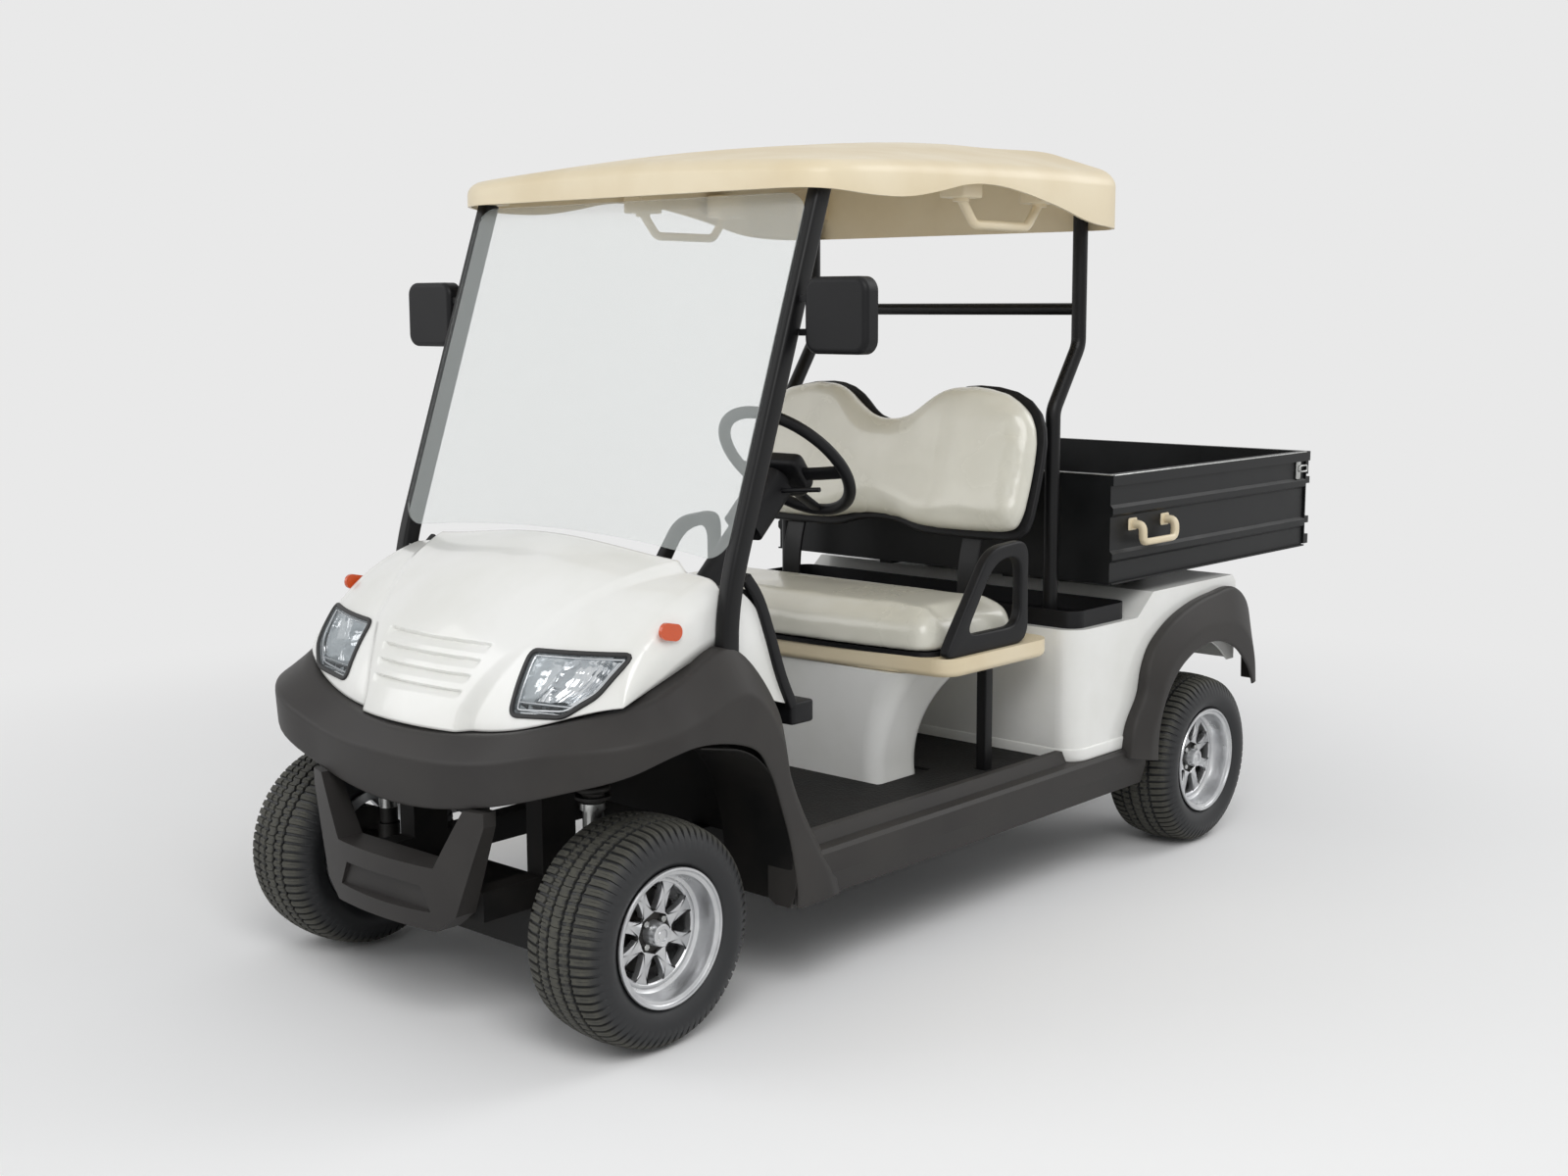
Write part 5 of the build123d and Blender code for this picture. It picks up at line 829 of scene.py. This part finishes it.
def cowl_grid():
    """The cowl's skin: the circles of its sections, raised to the hood's circles inside the hood's plan, with
    louvres that sink under their upper edges and rise again below; both sides roll over on a quarter circle
    and drop to their lower edge."""
    t = [np.linspace(0, 0.10, 10, endpoint=False), np.linspace(0.10, 0.46, 120, endpoint=False)]
    t = np.concatenate(t + [np.linspace(0.46, 1, 44)])[:, None]
    line = SIDE_FOOT + t * SIDE_RUN
    edge = arcs(COWL, np.full(t.shape, COWL_EDGE), t)[:, 0]
    drop = line - edge
    depth = np.maximum(np.linalg.norm(drop, axis=1, keepdims=True), 1e-6)
    curl = np.minimum(COWL_ROUND, 0.6 * depth)
    y = np.linspace(-1, 1, 171) * (COWL_EDGE - curl)
    base, hood = arcs(COWL, y, t + 0 * y), arcs(HOOD, np.clip(y, -450, 450), t + 0 * y)
    plan = np.interp(hood[..., 0], HOOD_PLAN[:, 0], HOOD_PLAN[:, 1])
    width = plan - HOOD_LEAN * (hood[..., 1] - 250)
    flat = base + (hood - base) * ease((width - np.abs(y) + 10) / 30)[..., None]
    lean = np.gradient(flat, axis=0)
    steep = np.maximum(np.linalg.norm(lean, axis=-1, keepdims=True), 1e-9)
    inward = np.stack([-lean[..., 1], lean[..., 0]], -1) / steep
    for height, half in LOUVRES:
        under = (height - flat[..., 1]) / LOUVRE_TALL
        sunk = np.where(under > 0, np.clip(1 - under, 0, 1) ** 1.3, ease(1 + under * 6))
        sunk = sunk * ease((half - np.abs(y)) / 14)
        flat = flat + inward * (LOUVRE_DEEP * sunk)[..., None]
    top = np.stack([flat[..., 0], y, flat[..., 1]], -1)
    bend = np.linspace(0, np.pi / 2, 9)[1:]
    steps = curl + (depth - curl) * np.array([0.35, 0.7, 1.0])
    fall = np.concatenate([curl * (1 - np.cos(bend)), steps], 1)
    out = np.concatenate([COWL_EDGE - curl + curl * np.sin(bend), np.full(steps.shape, COWL_EDGE)], 1)
    # from the rim of the top to the lower edge, as far as each point has fallen
    rim, share = top[:, -1:, [0, 2]], (fall / depth)[..., None]
    down = rim + (edge - rim[:, 0])[:, None] * share + drop[:, None] * share
    side = np.stack([down[..., 0], out, down[..., 1]], -1)
    points = np.concatenate([side[:, ::-1] * MIRROR, top, side], 1)
    return points * MM + FRONT_DATUM, False, False


cowl = surface("front_cowl_moulding", [cowl_grid()], white_abs, sharp=50.0)
if cowl.data.polygons[len(cowl.data.polygons) // 2].normal.z < 0:
    cowl.data.flip_normals()
wall = cowl.modifiers.new("wall", "SOLIDIFY")
wall.thickness, wall.offset = COWL_WALL * MM, -1.0
hole_plan = inset(lamp_line, -0.002)
lamp_hole = joined("lamp_hole", both(plate(hole_plan, 1.05, 1.47, 0.001, (0, 0, 0), (0, 1, 0), (0, 0, 1))))
cutter = bpy.data.objects.new("lamp_hole", lamp_hole)
bpy.context.scene.collection.objects.link(cutter)
cut = cowl.modifiers.new("lamps", "BOOLEAN")
cut.object, cut.operation, cut.solver = cutter, "DIFFERENCE", "EXACT"
settled(cowl)
bpy.data.objects.remove(cutter)
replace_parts(cowl, "front_cowl")


def cheek_grid():
    """A crescent between two parabolas from the cowl's rear edge down to a point, as a thin wall with rounded
    edges."""
    t = np.linspace(0, 1, 40)[:, None]
    start, low = np.array([(-205, 584), (-205, 470)], float), np.array([-395.0, 310])
    bow = np.array([(-336, 563), (-232.5, 354)], float)
    upper, lower = [(1 - t) ** 2 * s + 2 * t * (1 - t) * b + t ** 2 * low for s, b in zip(start, bow)]
    inner = COWL_EDGE - COWL_WALL
    corners = [(upper, inner), (upper, COWL_EDGE), (lower, COWL_EDGE), (lower, inner)]
    ring = np.stack([upright(p, y) for p, y in corners], 1) * MM + FRONT_DATUM
    grid = np.stack([rounded(row, 0.0015, 4) for row in ring])
    return np.concatenate([grid[:1].mean(1, keepdims=True) + 0 * grid[:1], grid]), False, True


surface("cowl_cheeks", both(cheek_grid()), white_abs)

# Seat frame: square posts, flat struts up the back, and a moulded loop beside each hip
post = [(0.005, 0.45, 0.318), (0.005, 0.45, 0.46), (0.005, 0.45, 0.600)]
strut = rounded(upright([(-0.121, 0.645), (-0.121, 0.798), (-0.179, 0.990)], 0.30), 0.05, 8, False)
tubes = both(sweep(post, oval(0.030, 0.030, 24, 8.0), (1, 0, 0)),
             sweep(strut, oval(0.008, 0.060, 24, 8.0), (0, 1, 0)))
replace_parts(surface("seat_frame_tubes", tubes, powder_coat), "seat_frame")
LOOP_OUT = ((0.266, 0.645), (0.266, 0.665), (0.100, 0.890), (-0.058, 0.900), (-0.058, 0.645))
LOOP_HOLE = ((0.198, 0.691), (0.080, 0.856), (-0.024, 0.864), (-0.024, 0.691))


def loop_grid(outer, hole, low, high):
    """A frame between two outlines seen from the side, from low to high across, with its four edges
    rounded."""
    outer, hole = [even(rounded(line, 0.05, 8), 140) for line in (outer, hole)]
    corners = [(outer, low), (outer, high), (hole, high), (hole, low)]
    ring = np.stack([upright(p, y) for p, y in corners], 1)
    return np.stack([rounded(row, 0.008, 5) for row in ring]), True, True


loops = both(loop_grid(LOOP_OUT, LOOP_HOLE, 0.506, 0.534))
surface("hip_loops", loops, black_abs)

# Dashboard: a strip down each end, along the cowl's rear edge, that ends in a corner block
STRIP = ((0.931, 0.91), (0.893, 0.865), (0.858, 0.779), (0.828, 0.692), (0.792, 0.623))
strip = rounded(upright(STRIP, 0.518), 0.05, 8, False)
block = oblong(0.036, 0.036, 0.012, 5)
edges = both(sweep(strip, oval(0.024, 0.018, 20, 5.0), (0, 1, 0)),
             plate(block, 0.0, 0.048, 0.006, (0.764, 0.491, 0.580), (1, 0, 0), (0, 1, 0)))
surface("dashboard_edges", edges, black_abs)

# Bed: a bright zinc strip along its rim, partly worn steel and partly a painted highlight of the rim's edge;
# feet of the lifting handles, latches at the rear corners
rim_line = u_line(-1.430, -0.3685, 0.5735, 1.0342, 0.006, 4)
# painted highlight: the strip's bright metal stands for the light along the rim's edge as well as for worn
# steel
surface("bed_rim_edge", [sweep(rim_line, oval(0.0045, 0.0035, 10))], zinc, "bed")
HANDLE_FRONT, HANDLE_REAR = -0.472, -0.632
foot_plan = oblong(0.016, 0.020, 0.006, 4)
feet = []
for x in (HANDLE_FRONT, HANDLE_REAR):
    feet += both(plate(foot_plan, 0.0, 0.004, 0.0015, (x, 0.567, 0.902), (0, 0, 1), (1, 0, 0)))
surface("bed_handle_feet", feet, cream_abs, "bed")
bend = [(0.567, 0.902), (0.601, 0.902), (0.601, 0.856)]
grip = [(HANDLE_FRONT, y, z) for y, z in bend] + [(HANDLE_REAR, y, z) for y, z in bend[::-1]]
grips = both(sweep(rounded(grip, 0.020, 6, False), oval(0.018, 0.022, 16, 3.0), (0.3, 1, 0.3)))
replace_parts(surface("bed_handle_grips", grips, cream_abs, "bed"), "bed_handles")
latch_plan = oblong(0.030, 0.013, 0.006, 4)
latches = both(plate(latch_plan, 0.0, 0.007, 0.002, (-1.385, 0.567, 0.985), (0, 0, 1), (1, 0, 0)))
hook = rounded([(-1.385, 0.578, 0.995), (-1.425, 0.580, 0.995), (-1.425, 0.580, 0.978),
                (-1.385, 0.578, 0.978)], 0.006, 4)
latches += both(sweep(hook, oval(0.005, 0.005, 10), (0, 1, 0), True))
surface("bed_latches", latches, zinc, "bed")

# Foot of the rear body: a flange that stands on the floor and the sills
foot_line = u_line(-0.46, -0.207, 0.575, 0.334, 0.06, 8)
foot = [sweep(foot_line, oval(0.018, 0.034, 20, 6.0))]
surface("rear_body_foot", foot, white_abs)

# Front struts: bright sleeves between the knuckles and the spring seats
STRUT_Y = 0.345
sleeve = [(FRONT_X, STRUT_Y, z) for z in (0.335, 0.40, 0.465)]
collar = [(FRONT_X, STRUT_Y, z) for z in (0.452, 0.459, 0.466)]
sleeves = both(sweep(sleeve, oval(0.043, 0.043, 28), (1, 0, 0)),
               sweep(collar, oval(0.054, 0.054, 28), (1, 0, 0)))
surface("strut_sleeves", sleeves, zinc)

# Small lock plate under the seat trim
lock_plan = oblong(0.022, 0.010, 0.010, 6)
lock = plate(lock_plan, 0.0, 0.004, 0.0015, (0.291, 0.0, 0.575), (0, 1, 0), (0, 0, 1))
surface("seat_lock", [lock], gasket)


# Stage, light and camera


def area_light(name, place, target, size, power):
    """A square lamp that faces a point."""
    lamp = bpy.data.lights.new(name, "AREA")
    lamp.size, lamp.energy = size, power
    made = bpy.data.objects.new(name, lamp)
    made.location = place
    made.rotation_euler = (Vector(target) - Vector(place)).to_track_quat("-Z", "Y").to_euler()
    bpy.context.scene.collection.objects.link(made)


# Lamps: place, the point they face, size, watts
area_light("key", (3.4, 3.6, 4.6), (0, 0, 0.7), 3.0, 140)
area_light("fill", (4.5, -3.5, 3.0), (0, 0, 0.7), 3.5, 60)
area_light("back", (-4.0, 2.5, 4.0), (0, 0, 0.8), 3.0, 75)

PALE = linear("#E9E9E9")
# The floor runs over into the backdrop between these distances from the vehicle's middle.
FLOOR_NEAR, FLOOR_FAR, FLOOR_HALF = 1.7, 4.2, 30


def seen(tree):
    """One for rays from the camera, and for those that reach it by way of gloss or glass."""
    path = node(tree, "LightPath").outputs
    gloss = node(tree, "Math", {0: path["Is Camera Ray"], 1: path["Is Glossy Ray"]},
                 operation="MAXIMUM")
    glass = node(tree, "Math", {0: gloss.outputs[0], 1: path["Is Transmission Ray"]},
                 operation="MAXIMUM")
    return glass.outputs[0]


world = bpy.data.worlds.new("studio")
world.use_nodes = True
bpy.context.scene.world = world
sky = world.node_tree
glow = sky.nodes["Background"]
glow.inputs["Color"].default_value = linear("#E8E9EA")
glow.inputs["Strength"].default_value = 0.58
pale = node(sky, "Background", {"Color": PALE, "Strength": 1.0})
choice = node(sky, "MixShader", {0: seen(sky), 1: glow.outputs[0], 2: pale.outputs[0]})
sky.links.new(choice.outputs[0], sky.nodes["World Output"].inputs["Surface"])


def floor_finish():
    """Pale painted floor, with patches of about 2 m, that runs over into the backdrop."""
    made, tree, shader, place = blank("pale_studio_floor", {"Roughness": 0.85})
    patches = node(tree, "TexNoise", {"Vector": place, "Scale": 1 / (2000 * MM), "Detail": 2.0})
    tone = node(tree, "Mix", {0: patches.outputs[0], 6: linear("#FAFAFA"), 7: linear("#F6F6F6")},
                data_type="RGBA")
    feed(tree, shader, {"Base Color": tone.outputs[2]})
    far = node(tree, "VectorMath", {0: place}, operation="LENGTH")
    away = node(tree, "MapRange", {0: far.outputs["Value"], 1: FLOOR_NEAR, 2: FLOOR_FAR},
                interpolation_type="SMOOTHSTEP")
    share = node(tree, "Math", {0: away.outputs[0], 1: seen(tree)}, operation="MULTIPLY")
    distant = node(tree, "Emission", {"Color": PALE, "Strength": 1.0})
    blend = node(tree, "MixShader",
                 {0: share.outputs[0], 1: shader.outputs[0], 2: distant.outputs[0]})
    tree.links.new(blend.outputs[0], tree.nodes["Material Output"].inputs["Surface"])
    return made


floor_mesh = bpy.data.meshes.new("studio_floor")
corners = np.array([(-1, -1, 0), (1, -1, 0), (1, 1, 0), (-1, 1, 0)]) * FLOOR_HALF
floor_mesh.from_pydata(corners, [], [(0, 1, 2, 3)])
floor_object = bpy.data.objects.new("studio_floor", floor_mesh)
bpy.context.scene.collection.objects.link(floor_object)
floor_mesh.materials.append(floor_finish())

camera = bpy.data.cameras.new("photo_view")
camera.sensor_width, camera.lens = 36.0, 42.508
camera.shift_x, camera.shift_y = -0.0315, -0.00798
camera_object = bpy.data.objects.new("photo_view", camera)
camera_object.location = (3.64175, 3.08240, 1.44664)
camera_object.rotation_euler = Vector((-0.75099, -0.64501, -0.14137)).to_track_quat("-Z", "Y").to_euler()
bpy.context.scene.collection.objects.link(camera_object)
bpy.context.scene.camera = camera_object
bpy.context.scene.view_settings.view_transform = "Standard"
